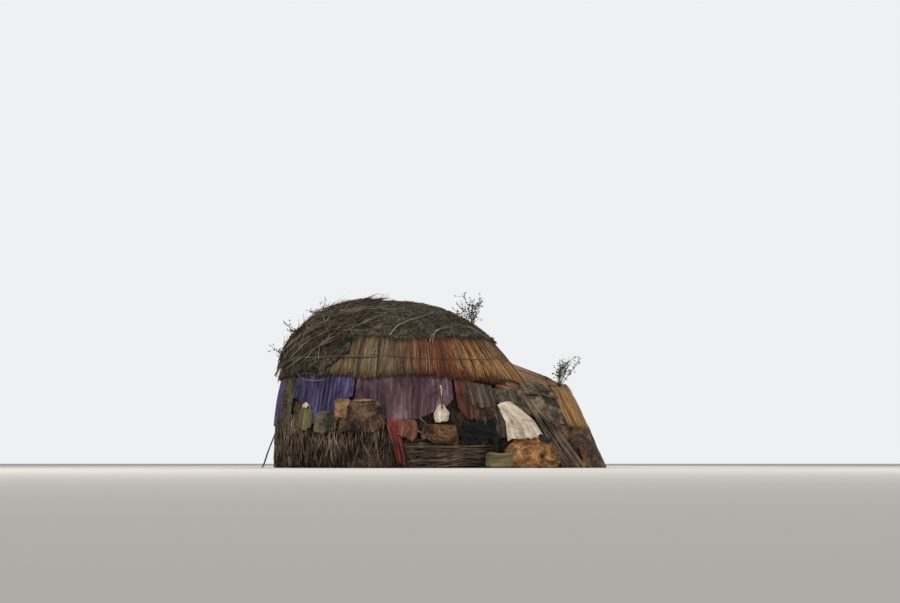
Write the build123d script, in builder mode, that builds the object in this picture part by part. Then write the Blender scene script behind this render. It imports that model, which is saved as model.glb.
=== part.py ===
from build123d import *
import os
from math import acos, asin, atan2, ceil, copysign, cos, degrees, hypot, pi, radians, sin, sqrt
from random import Random

os.makedirs("parts", exist_ok=True)

# A nomad's dome house of bent poles, covered with woven mats, hides and cloths.
# Its low porch leans back against the front of the dome and faces +X.
# Millimetres, ground at zero height, the origin in the middle of the whole footprint.
# A bearing is an angle round the dome's upright axis: 0 ahead, -90 the near side, 180 the back.

# Dome, over the outside of its cross hoops
AXIS_X = -481
DOME_BACK = 1759
DOME_FRONT = 1960
DOME_HALF_WIDTH = 1700
DOME_HEIGHT = 2263
DOME_FULLNESS = 2.52
FRONT_SLACKNESS = 0.53

# Porch, over the outside of its hoops, which lean back to the dome
PORCH_ROOT = 1260
PORCH_REACH = 1690
PORCH_FRONT = 2875
PORCH_LEAN = 0.42
PORCH_HALF_WIDTH = 1200
PORCH_FRONT_HEIGHT = 1140
PORCH_FALL = 0.436
PORCH_NOSE = 2.6
PORCH_ARCH = 2.5

# Thicknesses, and the gap that stands for the lashing between two layers
LASH_GAP = 0.8
HOOP_SIZE = 30
LINING = 12
WALL_POLE = 32
CLOTH = 8
ROOF_MAT = 28
CROWN_MAT = 32
BRUSH = 32
PORCH_HOOP_SIZE = 28
PORCH_SHELL = 24
PORCH_MAT = 22
PORCH_HIDE = 12

# Frame
HOOPS_AHEAD = (-1310, -640, 30, 710, 1410)
SIDE_ARCH_OFFSET = 800
RING_LATH_HEIGHTS = (1500, 1800)
RING_LATH_WIDTH = 40
PORCH_HOOP_FEET = (2230, 2500, 2780)
PORCH_ROOF_ROOT = 1500
PORCH_WALL_TOP = 780
UPPER_MAT_EDGE = 1060
UPPER_MAT_FRONT = 2560
MOUTH_START = 2262

# Walls and roof
JAMB = 39
VALLEY = 43
LINING_TOP = 1200
EAVE_POLE_BASE = 1178
EAVE_POLE_WIDTH = 44
EAVE_BY_BEARING = ((0, 1400), (15, 1372), (22, 1312), (28, 1222), (33, 1172), (54, 1198), (70, 1226),
                   (84, 1268), (102, 1206), (120, 1272), (180, 1290))
EAVE_CORNERS = sorted({turn + side * b for b, _ in EAVE_BY_BEARING for side in (-1, 1) for turn in (0, 360)})
CLOTH_TUCK = 70
ROOF_EYE = 0.2
CROWN_EDGE = 1770
CROWN_EYE = 60
PATCH_MARGIN = 15

# Stakes leaning on the lining, and the rows of poles between them and the porch
STAKE_SIZE = 30
STAKE_PITCH = 62
STAKE_TOPS_BY_BEARING = ((40, 390), (80, 365), (110, 450), (138, 500), (180, 512))
WATTLE_ROWS = 7
WATTLE_BASE = 20
WATTLE_PITCH = 50
WATTLE_SIZE = 42

# Doorway
DOORWAY_WIDTH = 560
DOORWAY_HEIGHT = 830
FRONT_WALL = 20
DOOR_POST = 44

# Loose poles and the bundle at the foot of the wall
THIN_POLE = 22
PROP_FOOT = 1970
PROP_FOOT_BEARING = -165
PROP_TOP_BEARING = -160
PROP_TOP_HEIGHT = 600
BUNDLE_AHEAD = 1359.5
BUNDLE_ASIDE = 1424.2
BUNDLE_TURN = 22
BUNDLE_LENGTH = 380
BUNDLE_DEPTH = 170
BUNDLE_HEIGHT = 215
BUNDLE_ROUNDING = 70

# Layers on the dome, each the distance of its inner face outside the hoops
LINING_FACE = LASH_GAP
POLE_FACE = LINING_FACE + LINING + LASH_GAP
CLOTH_FACE = POLE_FACE + WALL_POLE + LASH_GAP
UNDER_CLOTH_FACE = CLOTH_FACE - LASH_GAP - CLOTH
SKIRT_FACE = CLOTH_FACE + CLOTH + LASH_GAP
CROWN_FACE = SKIRT_FACE + ROOF_MAT + LASH_GAP
BRUSH_FACE = CROWN_FACE + CROWN_MAT + LASH_GAP

# Layers on the porch
PORCH_MAT_FACE = LASH_GAP + PORCH_SHELL + LASH_GAP
PORCH_POLE_FACE = PORCH_MAT_FACE + PORCH_MAT + LASH_GAP
FLANK_POLE_FACE = PORCH_MAT_FACE + PORCH_HIDE + LASH_GAP
PORCH_SLANT = hypot(1, PORCH_LEAN)
WALL_FRONT = PORCH_FRONT - 15
FRAME_FRONT = WALL_FRONT - (FRONT_WALL + LASH_GAP) * PORCH_SLANT
POST_OUTSIDE = DOORWAY_WIDTH + 2 * DOOR_POST

# Stations that all lofts share, so that layers nest, and the near ones that hold their ends true
SLICE_STEP = 8
SLICE_MARGIN = 2
PORCH_STEP = 5
PORCH_MARGIN = 20
ARCH_STEPS = 28
SHARES = [i / 16 for i in range(1, 16)]

# Distance from a six-sided pole's middle to its flats, as a share of its size
FLAT_SHARE = 0.433


def interpolate(table, place):
    """Value at a place between the (place, value) pairs of a table."""
    for (before, low), (after, high) in zip(table, table[1:]):
        if before <= place <= after:
            return low + (high - low) * (place - before) / (after - before)
    return table[-1][1]


def eave(bearing):
    """Height of the roof mats' lower edge, the same on both sides."""
    return interpolate(EAVE_BY_BEARING, abs((bearing + 180) % 360 - 180))


def fullness(bearing):
    """Exponent of the dome's slice: 2 is an ellipse, and more is squarer."""
    return DOME_FULLNESS - FRONT_SLACKNESS * cos(radians(bearing))


def reach(bearing, layer):
    """Distance from the axis to a layer at the ground."""
    ahead = cos(radians(bearing))
    length = (DOME_FRONT if ahead > 0 else DOME_BACK) + layer
    return 1 / hypot(ahead / length, sin(radians(bearing)) / (DOME_HALF_WIDTH + layer))


def radius(bearing, height, layer):
    """Distance from the axis to a layer at a height."""
    power = fullness(bearing)
    share = min(1, height / (DOME_HEIGHT + layer))
    return reach(bearing, layer) * (1 - share**power) ** (1 / power)


def dome_height(ahead, across, layer):
    """Height of a layer over a place on the ground."""
    bearing = degrees(atan2(across, ahead))
    power = fullness(bearing)
    share = min(1, hypot(ahead, across) / reach(bearing, layer))
    return (DOME_HEIGHT + layer) * (1 - share**power) ** (1 / power)


def roof_end(bearing, layer):
    """Height where a roof mat stops short of the dome's top."""
    power = fullness(bearing)
    return (DOME_HEIGHT + layer) * (1 - ROOF_EYE**power) ** (1 / power)


def eye_height(bearing, layer):
    """Height of the edge of the small eye in the crown mat."""
    power = fullness(bearing)
    share = CROWN_EYE / reach(bearing, layer)
    return (DOME_HEIGHT + layer) * (1 - share**power) ** (1 / power)


def slice_plane(bearing):
    """Upright plane through the axis: outward is its x, up is its y."""
    ahead, across = cos(radians(bearing)), sin(radians(bearing))
    return Plane(origin=(AXIS_X, 0, 0), x_dir=(ahead, across, 0), z_dir=(across, -ahead, 0))


def slice_arc(bearing, low, high, layer):
    """Points up one slice of a layer, between two heights."""
    power = fullness(bearing)
    top = DOME_HEIGHT + layer
    start = asin((low / top) ** (power / 2))
    end = asin((high / top) ** (power / 2))
    steps = 3 + ceil(abs(high - low) / 200)
    turns = [start + (end - start) * i / steps for i in range(steps + 1)]
    foot = reach(bearing, layer)
    return [(foot * cos(t) ** (2 / power), top * sin(t) ** (2 / power)) for t in turns]


def stations(start, end, grid, margin):
    """The grid's places between two ends, with one more close to each end."""
    inner = [place for place in grid if start + 2 * margin < place < end - 2 * margin]
    return [start, start + margin, *inner, end - margin, end]


def bearings(start, end):
    """Bearings of the slices that a piece of the dome is lofted through."""
    first = SLICE_STEP * ceil(start / SLICE_STEP)
    return stations(start, end, range(first, ceil(end), SLICE_STEP), SLICE_MARGIN)


def section(plane, outer_points, inner_points):
    """The face between two curves, drawn on a plane."""
    with BuildSketch(plane) as face:
        with BuildLine():
            outside = Spline(*outer_points)
            inside = Spline(*inner_points)
            Line(outside @ 0, inside @ 0)
            Line(outside @ 1, inside @ 1)
        make_face()
    return face.sketch


def covering(start, end, low, high, inner, outer):
    """Adds a piece that lies on the dome between two bearings, two heights and two layers."""
    loft(
        [
            section(slice_plane(b), slice_arc(b, low, high, outer), slice_arc(b, low, high, inner))
            for b in bearings(start, end)
        ]
    )


def cap_section(bearing, low, inner, outer):
    """A slice from a height up to the eye left open at the top."""
    with BuildSketch(slice_plane(bearing)) as face:
        with BuildLine():
            outside = Spline(*slice_arc(bearing, low, eye_height(bearing, outer), outer))
            inside = Spline(*slice_arc(bearing, low, eye_height(bearing, inner), inner))
            Line(outside @ 0, inside @ 0)
            Line(outside @ 1, inside @ 1)
        make_face()
    return face.sketch


def stepped_section(bearing, low, step, lower_inner, upper_inner, outer):
    """A slice up to the end of the roof, whose inner side steps at a height."""
    with BuildSketch(slice_plane(bearing)) as face:
        with BuildLine():
            outside = Spline(*slice_arc(bearing, low, roof_end(bearing, outer), outer))
            lower = Spline(*slice_arc(bearing, low, step, lower_inner))
            upper = Spline(*slice_arc(bearing, step, roof_end(bearing, upper_inner), upper_inner))
            Line(outside @ 0, lower @ 0)
            Line(lower @ 1, upper @ 0)
            Line(upper @ 1, outside @ 1)
        make_face()
    return face.sketch


def elevation_plane(bearing):
    """Upright plane through the axis, facing out along a bearing."""
    ahead, across = cos(radians(bearing)), sin(radians(bearing))
    return Plane(origin=(AXIS_X, 0, 0), x_dir=(-across, ahead, 0), z_dir=(ahead, across, 0))


def elevation_point(facing, bearing, height, layer):
    """Where a place on the dome is seen in the elevation that faces along a bearing."""
    return (radius(bearing, height, layer) * sin(radians(bearing - facing)), height)


def patch(corners, inner, outer):
    """A piece on the dome with an outline of (bearing, height) corners."""
    sides = [b for b, _ in corners]
    heights = [z for _, z in corners]
    facing = (min(sides) + max(sides)) / 2
    low = max(0, min(heights) - PATCH_MARGIN)
    with BuildPart() as piece:
        covering(min(sides) - 1, max(sides) + 1, low, max(heights) + PATCH_MARGIN, inner, outer)
        with BuildSketch(elevation_plane(facing)) as outline:
            with BuildLine():
                Polyline(*[elevation_point(facing, b, z, outer) for b, z in corners], close=True)
            make_face()
        extrude(outline.sketch, amount=2 * DOME_FRONT, mode=Mode.INTERSECT)
    return piece.part


def band(route, width, inner, outer):
    """A narrow piece that follows a route of (bearing, height) places over the dome."""
    return patch([*route, *[(b, z + width) for b, z in reversed(route)]], inner, outer)


def hanging(hem):
    """A cloth that hangs from under the roof's skirt down to a hem."""
    top = min(eave(b) for b, _ in hem) + CLOTH_TUCK
    return patch([(hem[0][0], top), *hem, (hem[-1][0], top)], CLOTH_FACE, CLOTH_FACE + CLOTH)


def cut_under_eave(start, end):
    """Cuts a piece of the roof along the eave between two bearings."""
    facing = (start + end) / 2
    turns = [start, *[b for b in EAVE_CORNERS if start < b < end], end]
    line = [elevation_point(facing, b, eave(b), SKIRT_FACE + ROOF_MAT) for b in turns]
    beyond = DOME_FRONT
    with BuildSketch(elevation_plane(facing)) as below:
        with BuildLine():
            Polyline(
                (-beyond, 0), (-beyond, line[0][1]), *line, (beyond, line[-1][1]), (beyond, 0), close=True
            )
        make_face()
    extrude(below.sketch, amount=2 * DOME_FRONT, mode=Mode.SUBTRACT)


def foot_dense(end):
    """Turns from 0 to an end of up to half a circle, closer together at both ends."""
    return [end * (1 - cos(pi * i / ARCH_STEPS)) / 2 for i in range(ARCH_STEPS + 1)]


def hoop_arc(ahead, layer):
    """Points over the dome in an upright plane across it."""
    length = (DOME_FRONT if ahead > 0 else DOME_BACK) + layer
    half = (DOME_HALF_WIDTH + layer) * sqrt(1 - (ahead / length) ** 2)
    places = [-half * cos(t) for t in foot_dense(pi)]
    return [(across, dome_height(ahead, across, layer)) for across in places]


def long_arc(across, layer, end):
    """Points over the dome in an upright plane along it, from the back to an end ahead."""
    share = sqrt(1 - (across / (DOME_HALF_WIDTH + layer)) ** 2)
    back = (DOME_BACK + layer) * share
    front = (DOME_FRONT + layer) * share
    turns = foot_dense(pi if end is None else pi - acos(end / front))
    places = [(-back if t < pi / 2 else -front) * cos(t) for t in turns]
    return [(ahead, dome_height(ahead, across, layer)) for ahead in places]


def porch_half_width(foot, layer):
    """Half the porch's width where a leaning arch stands, measured ahead of the axis."""
    narrowing = ((foot - PORCH_ROOT) / PORCH_REACH) ** PORCH_NOSE
    return PORCH_HALF_WIDTH * (1 - narrowing) ** (1 / PORCH_NOSE) + layer


def porch_height(foot, layer):
    """Height of the leaning arch that stands at a foot."""
    return PORCH_FRONT_HEIGHT + PORCH_FALL * (PORCH_FRONT - foot) + layer


def porch_side(ahead, height, layer):
    """Distance from the middle to the porch's side at a place."""
    foot = max(PORCH_ROOT, ahead + PORCH_LEAN * height)
    share = min(1, height / porch_height(foot, layer)) ** PORCH_ARCH
    return porch_half_width(foot, layer) * (1 - share) ** (1 / PORCH_ARCH)


def porch_plane(foot):
    """Plane of a leaning arch: across is its x, up the slope is its y."""
    return Plane(origin=(AXIS_X + foot, 0, 0), x_dir=(0, 1, 0), z_dir=(1, 0, PORCH_LEAN))


def porch_arc(foot, low, high, side, layer):
    """Points up one side of a leaning arch, or over it to the other side where high is None."""
    width = porch_half_width(foot, layer)
    top = porch_height(foot, layer)
    start = asin((low / top) ** (PORCH_ARCH / 2))
    end = pi - start if high is None else asin((high / top) ** (PORCH_ARCH / 2))
    steps = 4 + ceil((end - start) / 0.3)
    turns = [start + (end - start) * i / steps for i in range(steps + 1)]
    return [
        (
            side * width * copysign(abs(cos(t)) ** (2 / PORCH_ARCH), cos(t)),
            top * PORCH_SLANT * sin(t) ** (2 / PORCH_ARCH),
        )
        for t in turns
    ]


def porch_covering(start, end, low, high, side, inner, outer):
    """Adds a piece that lies on the porch between two feet, two heights and two layers."""
    turns = [radians(PORCH_STEP * i) for i in range(1, 90 // PORCH_STEP)]
    grid = [PORCH_ROOT + PORCH_REACH * sin(t) ** (2 / PORCH_NOSE) for t in turns]
    loft(
        [
            section(
                porch_plane(foot),
                porch_arc(foot, low, high, side, outer),
                porch_arc(foot, low, high, side, inner),
            )
            for foot in stations(start, end, grid, PORCH_MARGIN)
        ]
    )


def porch_patch(corners, side, inner, outer):
    """Adds a piece on the porch's side with an outline of (ahead, height) corners."""
    feet = [ahead + PORCH_LEAN * z for ahead, z in corners]
    heights = [z for _, z in corners]
    low = max(0, min(heights) - PATCH_MARGIN)
    start = max(PORCH_ROOT, min(feet) - PORCH_MARGIN)
    end = min(PORCH_FRONT, max(feet) + PORCH_MARGIN)
    porch_covering(start, end, low, max(heights) + PATCH_MARGIN, side, inner, outer)
    with BuildSketch(Plane.XZ) as outline:
        with BuildLine():
            Polyline(*[(AXIS_X + ahead, z) for ahead, z in corners], close=True)
        make_face()
    extrude(outline.sketch, amount=2 * DOME_HALF_WIDTH, both=True, mode=Mode.INTERSECT)


def trim_to_dome():
    """Cuts a porch piece back to the face of the dome's wall and roof."""
    add(wall_space.part, mode=Mode.SUBTRACT)
    add(roof_space.part, mode=Mode.SUBTRACT)


def straight_pole(start, end, size, along):
    """Adds a six-sided pole between two points, run on at its foot, two of its flats square to along."""
    run = Vector(*end) - Vector(*start)
    foot = Vector(*start) - run.normalized() * size
    with BuildSketch(Plane(origin=foot, x_dir=along, z_dir=run)) as end_face:
        RegularPolygon(size / 2, 6)
    extrude(end_face.sketch, amount=run.length + size)


def tangent(bearing):
    """Level direction along the wall at a bearing."""
    return (-sin(radians(bearing)), cos(radians(bearing)), 0)


def dome_point(bearing, distance, height):
    """A place at a distance from the dome's axis."""
    return (AXIS_X + distance * cos(radians(bearing)), distance * sin(radians(bearing)), height)


def stake(bearing, lean, height, size):
    """Adds a stake whose middle touches the lining."""
    layer = POLE_FACE + size * FLAT_SHARE
    foot, top = radius(bearing, 0, layer), radius(bearing + lean, height, layer)
    belly = max(radius(bearing + lean * s, height * s, layer) - (foot + (top - foot) * s) for s in SHARES)
    straight_pole(
        dome_point(bearing, foot + belly, 0),
        dome_point(bearing + lean, top + belly, height),
        size,
        tangent(bearing),
    )


def stake_row(start, end, seed):
    """Adds stakes of uneven height and thickness from one bearing to another."""
    chance = Random(seed)
    bearing = start
    while bearing < end:
        top = interpolate(STAKE_TOPS_BY_BEARING, abs((bearing + 180) % 360 - 180))
        size = STAKE_SIZE * chance.uniform(0.85, 1.12)
        stake(bearing, chance.uniform(-0.35, 0.35), top * chance.uniform(0.78, 1), size)
        bearing += degrees(STAKE_PITCH / reach(bearing, 0))
    split(bisect_by=Plane.XY, keep=Keep.TOP)


def porch_pole(side, foot, top_foot, height, size):
    """Adds a thin pole that leans on the porch's side, its foot ahead of its top."""
    top_ahead = top_foot - PORCH_LEAN * height
    start = (foot, porch_side(foot, 0, 0), 0)
    end = (top_ahead, porch_side(top_ahead, height, 0), height)
    belly = 0
    for share in SHARES:
        ahead, across, up = (a + (b - a) * share for a, b in zip(start, end))
        lies_on = PORCH_POLE_FACE if ahead + PORCH_LEAN * up > MOUTH_START else FLANK_POLE_FACE
        belly = max(belly, porch_side(ahead, up, lies_on + size * FLAT_SHARE) - across)
    straight_pole(
        (AXIS_X + start[0], side * (start[1] + belly), 0),
        (AXIS_X + end[0], side * (end[1] + belly), height),
        size,
        (1, 0, 0),
    )


def write(part, name):
    """Labels a finished part and writes it."""
    part.label = name
    export_step(part, f"parts/{name}.step")


# Cross hoops: poles bent over the house, both ends in the ground
for number, ahead in enumerate(HOOPS_AHEAD, 1):
    with BuildPart() as cross_hoop:
        loft(
            [
                section(Plane.YZ.offset(AXIS_X + place), hoop_arc(place, 0), hoop_arc(place, -HOOP_SIZE))
                for place in (ahead - HOOP_SIZE / 2, ahead + HOOP_SIZE / 2)
            ]
        )
    write(cross_hoop.part, f"cross_hoop_{number}")

# Long arches: poles bent from back to front, lashed under the hoops
ARCH_OUTSIDE = -HOOP_SIZE - LASH_GAP
RIDGE_END = HOOPS_AHEAD[-1] + HOOP_SIZE
LONG_ARCHES = (
    ("long_arch_near", -SIDE_ARCH_OFFSET, None),
    ("long_arch_ridge", 0, RIDGE_END),
    ("long_arch_far", SIDE_ARCH_OFFSET, None),
)
for name, across, end in LONG_ARCHES:
    with BuildPart() as long_arch:
        loft(
            [
                section(
                    Plane(origin=(AXIS_X, place, 0), x_dir=(1, 0, 0), z_dir=(0, -1, 0)),
                    long_arc(place, ARCH_OUTSIDE, end),
                    long_arc(place, ARCH_OUTSIDE - HOOP_SIZE, end),
                )
                for place in (across - HOOP_SIZE / 2, across + HOOP_SIZE / 2)
            ]
        )
    write(long_arch.part, name)

# Ring laths: split poles round the hoops, open above the porch
with BuildPart() as ring_laths:
    for height in RING_LATH_HEIGHTS:
        covering(
            VALLEY, 360 - VALLEY, height, height + RING_LATH_WIDTH, LINING_FACE, LINING_FACE + LINING
        )
write(ring_laths.part, "ring_laths")

# Lining: mats and hides on the hoops, from the ground to the eave
LININGS = (("wall_lining_near", -140, -JAMB), ("wall_lining_back", 140, 220), ("wall_lining_far", JAMB, 140))
for name, start, end in LININGS:
    with BuildPart() as wall_lining:
        covering(start, end, 0, LINING_TOP, LINING_FACE, LINING_FACE + LINING)
    write(wall_lining.part, name)

# Eave pole: a bundle bent round the wall, from which the cloths hang
EAVE_POLE_TOP = EAVE_POLE_BASE + EAVE_POLE_WIDTH
with BuildPart() as eave_pole:
    covering(
        VALLEY + 2, 358 - VALLEY, EAVE_POLE_BASE, EAVE_POLE_TOP, POLE_FACE, POLE_FACE + WALL_POLE
    )
write(eave_pole.part, "eave_pole")

# Roof mats: thick woven mats in four gores, their skirts over the tops of the cloths
ROOF_GORES = (
    ("roof_mat_near", -138, -38, 1165, 1365),
    ("roof_mat_back", 138, 222, 1265, 1385),
    ("roof_mat_far", 38, 138, 1165, 1365),
    ("roof_mat_front", -38, 38, 1165, 1690),
)
for name, start, end, low, step in ROOF_GORES:
    with BuildPart() as roof_mat:
        loft(
            [
                stepped_section(b, low, step, SKIRT_FACE, POLE_FACE, SKIRT_FACE + ROOF_MAT)
                for b in bearings(start, end)
            ]
        )
        cut_under_eave(start, end)
    write(roof_mat.part, name)

# Crown mat: one thick mat thrown over the top, tied in a knot at its eye
with BuildPart() as crown_mat:
    for start in (-180, 0):
        loft(
            [
                cap_section(b, CROWN_EDGE, CROWN_FACE, CROWN_FACE + CROWN_MAT)
                for b in bearings(start, start + 180)
            ]
        )
write(crown_mat.part, "crown_mat")

with BuildPart() as crown_knot:
    with BuildSketch(Plane(origin=(AXIS_X, 0, DOME_HEIGHT + CROWN_FACE))):
        Circle(CROWN_EYE - LASH_GAP)
    extrude(amount=CROWN_MAT)
write(crown_knot.part, "crown_knot")

# Brush laid on the roof at the near corner of the back
BRUSH_LINE = ((164, 1556), (194, 1520), (216, 1300), (234, 1305), (243, 1470))
with BuildPart() as roof_brush:
    loft(
        [
            stepped_section(b, 1285, CROWN_EDGE - 2, CROWN_FACE, BRUSH_FACE, BRUSH_FACE + BRUSH)
            for b in bearings(160, 246)
        ]
    )
    with BuildSketch(elevation_plane(203)) as brush_edge:
        with BuildLine():
            Polyline(
                *[elevation_point(203, b, z, BRUSH_FACE + BRUSH) for b, z in BRUSH_LINE],
                (DOME_FRONT, 1560),
                (DOME_FRONT, 0),
                (-DOME_FRONT, 0),
                (-DOME_FRONT, 1590),
                close=True,
            )
        make_face()
    extrude(brush_edge.sketch, amount=2 * DOME_FRONT, mode=Mode.SUBTRACT)

# The heap's thick sticks, laid slanting on it about 276 apart
STICK_WIDTH = 48
STICK_RISE = 52
STICKS = (
    ((168, 1600), (176, 1790), (187, 1960)),
    ((179, 1570), (188, 1790), (200, 1960), (214, 2070)),
    ((192, 1550), (200, 1720), (212, 1880), (228, 2010)),
    ((203, 1450), (211, 1620), (222, 1780), (239, 1910)),
    ((213, 1350), (222, 1500), (232, 1640), (243, 1760)),
)
STICK_FACE = BRUSH_FACE + BRUSH + LASH_GAP
HEAP_STICKS = [band(route, STICK_WIDTH, STICK_FACE, STICK_FACE + STICK_RISE) for route in STICKS]
with BuildPart() as heaped_brush:
    add([roof_brush.part, *HEAP_STICKS])
write(heaped_brush.part, "roof_brush")

# Rope that ties the mats down, and branches that hold the crown
ROPE_SIZE = 12
ROPE_BY_BEARING = ((20, 1640), (32, 1500), (47, 1345), (78, 1350), (103, 1480))
ROPES = [
    band([(side * b, z) for b, z in ROPE_BY_BEARING], ROPE_SIZE, CROWN_FACE, CROWN_FACE + ROPE_SIZE)
    for side in (-1, 1)
]
with BuildPart() as tie_ropes:
    add(ROPES)
write(tie_ropes.part, "tie_ropes")

BRANCH_SIZE = 18
BRANCHES = (
    ((-94, 1790), (-89, 1925), (-78, 2015), (-62, 2130)),
    ((-70, 1790), (-61, 1930), (-45, 1991), (-31, 1956)),
)
LAID_BRANCHES = [band(route, BRANCH_SIZE, BRUSH_FACE, BRUSH_FACE + BRANCH_SIZE) for route in BRANCHES]
with BuildPart() as roof_branches:
    add(LAID_BRANCHES)
write(roof_branches.part, "roof_branches")

# Cloths and hides that hang from the eave pole, as the (bearing, height) corners of their hems
HANGINGS = {
    "blue_cloth": ((-144, 960), (-138, 885), (-126, 555), (-113, 826), (-109.5, 960)),
    "mauve_cloth": ((-108.5, 864), (-93, 624), (-80, 651), (-67, 826), (-64, 960)),
    "olive_hide": ((-163, 528), (-145, 535)),
    "rust_cloth": ((-62.5, 830), (-56.5, 560), (-51.5, 836)),
    "violet_strip": ((-179, 600), (-165, 640)),
}

for name, hem in HANGINGS.items():
    write(hanging(hem), name)

# Pieces tucked in or thrown over, as a layer and (bearing, height) corners
PATCHES = {
    "brown_hide": (UNDER_CLOTH_FACE, ((-114, 530), (-114, 900), (-95, 890), (-95, 540))),
    "grey_mat": (UNDER_CLOTH_FACE, ((-57, 850), (-57, 1150), (-43, 1090), (-43, 850))),
    "khaki_strip": (UNDER_CLOTH_FACE, ((-137, 530), (-137, 950), (-128, 930), (-128, 530))),
    "tan_hide": (CLOTH_FACE, ((-78, 326), (-78, 560), (-64, 550), (-64, 327))),
    "red_cloth": (SKIRT_FACE, ((-94.5, 300), (-93.5, 625), (-81, 640), (-82, 400), (-86, 180), (-90, 140))),
    "black_cloth": (SKIRT_FACE, ((-63, 327), (-63, 564), (-57, 632), (-44.5, 655), (-44.5, 332))),
    "pale_bag": (SKIRT_FACE, ((-73, 600), (-74, 731), (-70.5, 838), (-67.5, 760), (-68, 600))),
    "orange_flap": (SKIRT_FACE, ((-116.5, 653), (-116.5, 905), (-110, 895), (-110, 653))),
}
for name, (face, corners) in PATCHES.items():
    write(patch(corners, face, face + CLOTH), name)

# The far side and the back repeat the same kinds of hangings, more plainly
FAR_HEMS = (
    ((47, 700), (62, 640)),
    ((64, 830), (80, 650), (93, 630), (108.5, 850)),
    ((109.5, 900), (126, 600), (144, 880)),
    ((146, 540), (178, 620)),
)
FAR_HANGINGS = [hanging(hem) for hem in FAR_HEMS]
with BuildPart() as far_cloths:
    add(FAR_HANGINGS)
write(far_cloths.part, "far_cloths")

# Stakes and brushwood leaning on the foot of the wall
with BuildPart() as stakes_near:
    stake_row(-179, -82, 3)
write(stakes_near.part, "stakes_near")

with BuildPart() as stakes_far:
    stake_row(44, 179, 5)
write(stakes_far.part, "stakes_far")

# Level poles stacked against the wall between the stakes and the porch
with BuildPart() as wattle_poles:
    for row in range(WATTLE_ROWS):
        base = WATTLE_BASE + row * WATTLE_PITCH
        covering(-80.5, -VALLEY, base, base + WATTLE_SIZE, POLE_FACE, POLE_FACE + WALL_POLE)
write(wattle_poles.part, "wattle_poles")

# Space of the dome's wall and roof, to which the porch is cut back
with BuildPart() as wall_space:
    covering(-60, 60, 0, 1850, -300, POLE_FACE)

with BuildPart() as roof_space:
    covering(-60, 60, 1160, 1900, 0, CROWN_FACE)
    cut_under_eave(-60, 60)

# Porch hoops: smaller arches that lean back, spread in front of the dome
with BuildPart() as porch_hoops:
    for foot in PORCH_HOOP_FEET:
        loft(
            [
                section(
                    porch_plane(place),
                    porch_arc(place, 0, None, -1, 0),
                    porch_arc(place, 0, None, -1, -PORCH_HOOP_SIZE),
                )
                for place in (foot - PORCH_HOOP_SIZE / 2, foot, foot + PORCH_HOOP_SIZE / 2)
            ]
        )
write(porch_hoops.part, "porch_hoops")

# Porch walls and roof: mats laid on the porch hoops
PORCH_SHELL_OUTSIDE = LASH_GAP + PORCH_SHELL
for name, side in (("porch_wall_near", -1), ("porch_wall_far", 1)):
    with BuildPart() as porch_wall:
        porch_covering(PORCH_ROOT, PORCH_FRONT, 0, PORCH_WALL_TOP, side, LASH_GAP, PORCH_SHELL_OUTSIDE)
        trim_to_dome()
    write(porch_wall.part, name)

with BuildPart() as porch_roof:
    porch_covering(
        PORCH_ROOF_ROOT, PORCH_FRONT, PORCH_WALL_TOP + LASH_GAP, None, -1, LASH_GAP, PORCH_SHELL_OUTSIDE
    )
    trim_to_dome()
write(porch_roof.part, "porch_roof")

# A second tier of mats over the back of the porch roof
with BuildPart() as porch_roof_mat:
    porch_covering(
        PORCH_ROOF_ROOT,
        UPPER_MAT_FRONT,
        UPPER_MAT_EDGE,
        None,
        -1,
        PORCH_MAT_FACE,
        PORCH_MAT_FACE + PORCH_MAT,
    )
    trim_to_dome()
write(porch_roof_mat.part, "porch_roof_mat")

# Golden mats and dark hides on both sides of the porch's mouth
for name, low, high in (("porch_side_mats", 604, UPPER_MAT_EDGE - 4), ("porch_hides", 0, 600)):
    with BuildPart() as mouth_pair:
        for side in (-1, 1):
            porch_covering(
                MOUTH_START, PORCH_FRONT, low, high, side, PORCH_MAT_FACE, PORCH_MAT_FACE + PORCH_MAT
            )
    write(mouth_pair.part, name)

# Sheet, hide and mat on the porch's near side, and a plain cloth on its far side
FLANK_PIECES = {
    "cream_sheet": (-1, ((1200, 413), (1150, 820), (1700, 850), (1960, 700), (2010, 450))),
    "orange_hide": (-1, ((1350, 0), (1300, 385), (1700, 400), (2080, 330), (2240, 0))),
    "grey_side_mat": (-1, ((1000, 880), (950, 1040), (1750, 1030), (1800, 890))),
    "far_porch_cloth": (1, ((1250, 330), (1200, 850), (1800, 850), (2050, 330))),
}
for name, (side, corners) in FLANK_PIECES.items():
    with BuildPart() as flank_piece:
        porch_patch(corners, side, PORCH_MAT_FACE, PORCH_MAT_FACE + PORCH_HIDE)
        trim_to_dome()
    write(flank_piece.part, name)

# Front wall: matting across the porch's mouth, with the low doorway cut through
with BuildPart() as front_wall:
    with BuildSketch(porch_plane(WALL_FRONT)):
        with BuildLine():
            arch = Spline(*porch_arc(WALL_FRONT, 0, None, -1, -LASH_GAP))
            Line(arch @ 0, arch @ 1)
        make_face()
        Rectangle(DOORWAY_WIDTH, DOORWAY_HEIGHT * PORCH_SLANT * 2, mode=Mode.SUBTRACT)
    extrude(amount=-FRONT_WALL)
    split(bisect_by=Plane.XY, keep=Keep.TOP)
write(front_wall.part, "front_wall")

# Door frame: two posts and a lintel lashed behind the front wall
with BuildPart() as door_frame:
    with BuildSketch(porch_plane(FRAME_FRONT)):
        Rectangle(POST_OUTSIDE, (DOORWAY_HEIGHT * PORCH_SLANT + DOOR_POST) * 2)
        Rectangle(DOORWAY_WIDTH, DOORWAY_HEIGHT * PORCH_SLANT * 2, mode=Mode.SUBTRACT)
    extrude(amount=-DOOR_POST)
    split(bisect_by=Plane.XY, keep=Keep.TOP)
write(door_frame.part, "door_frame")

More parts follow.
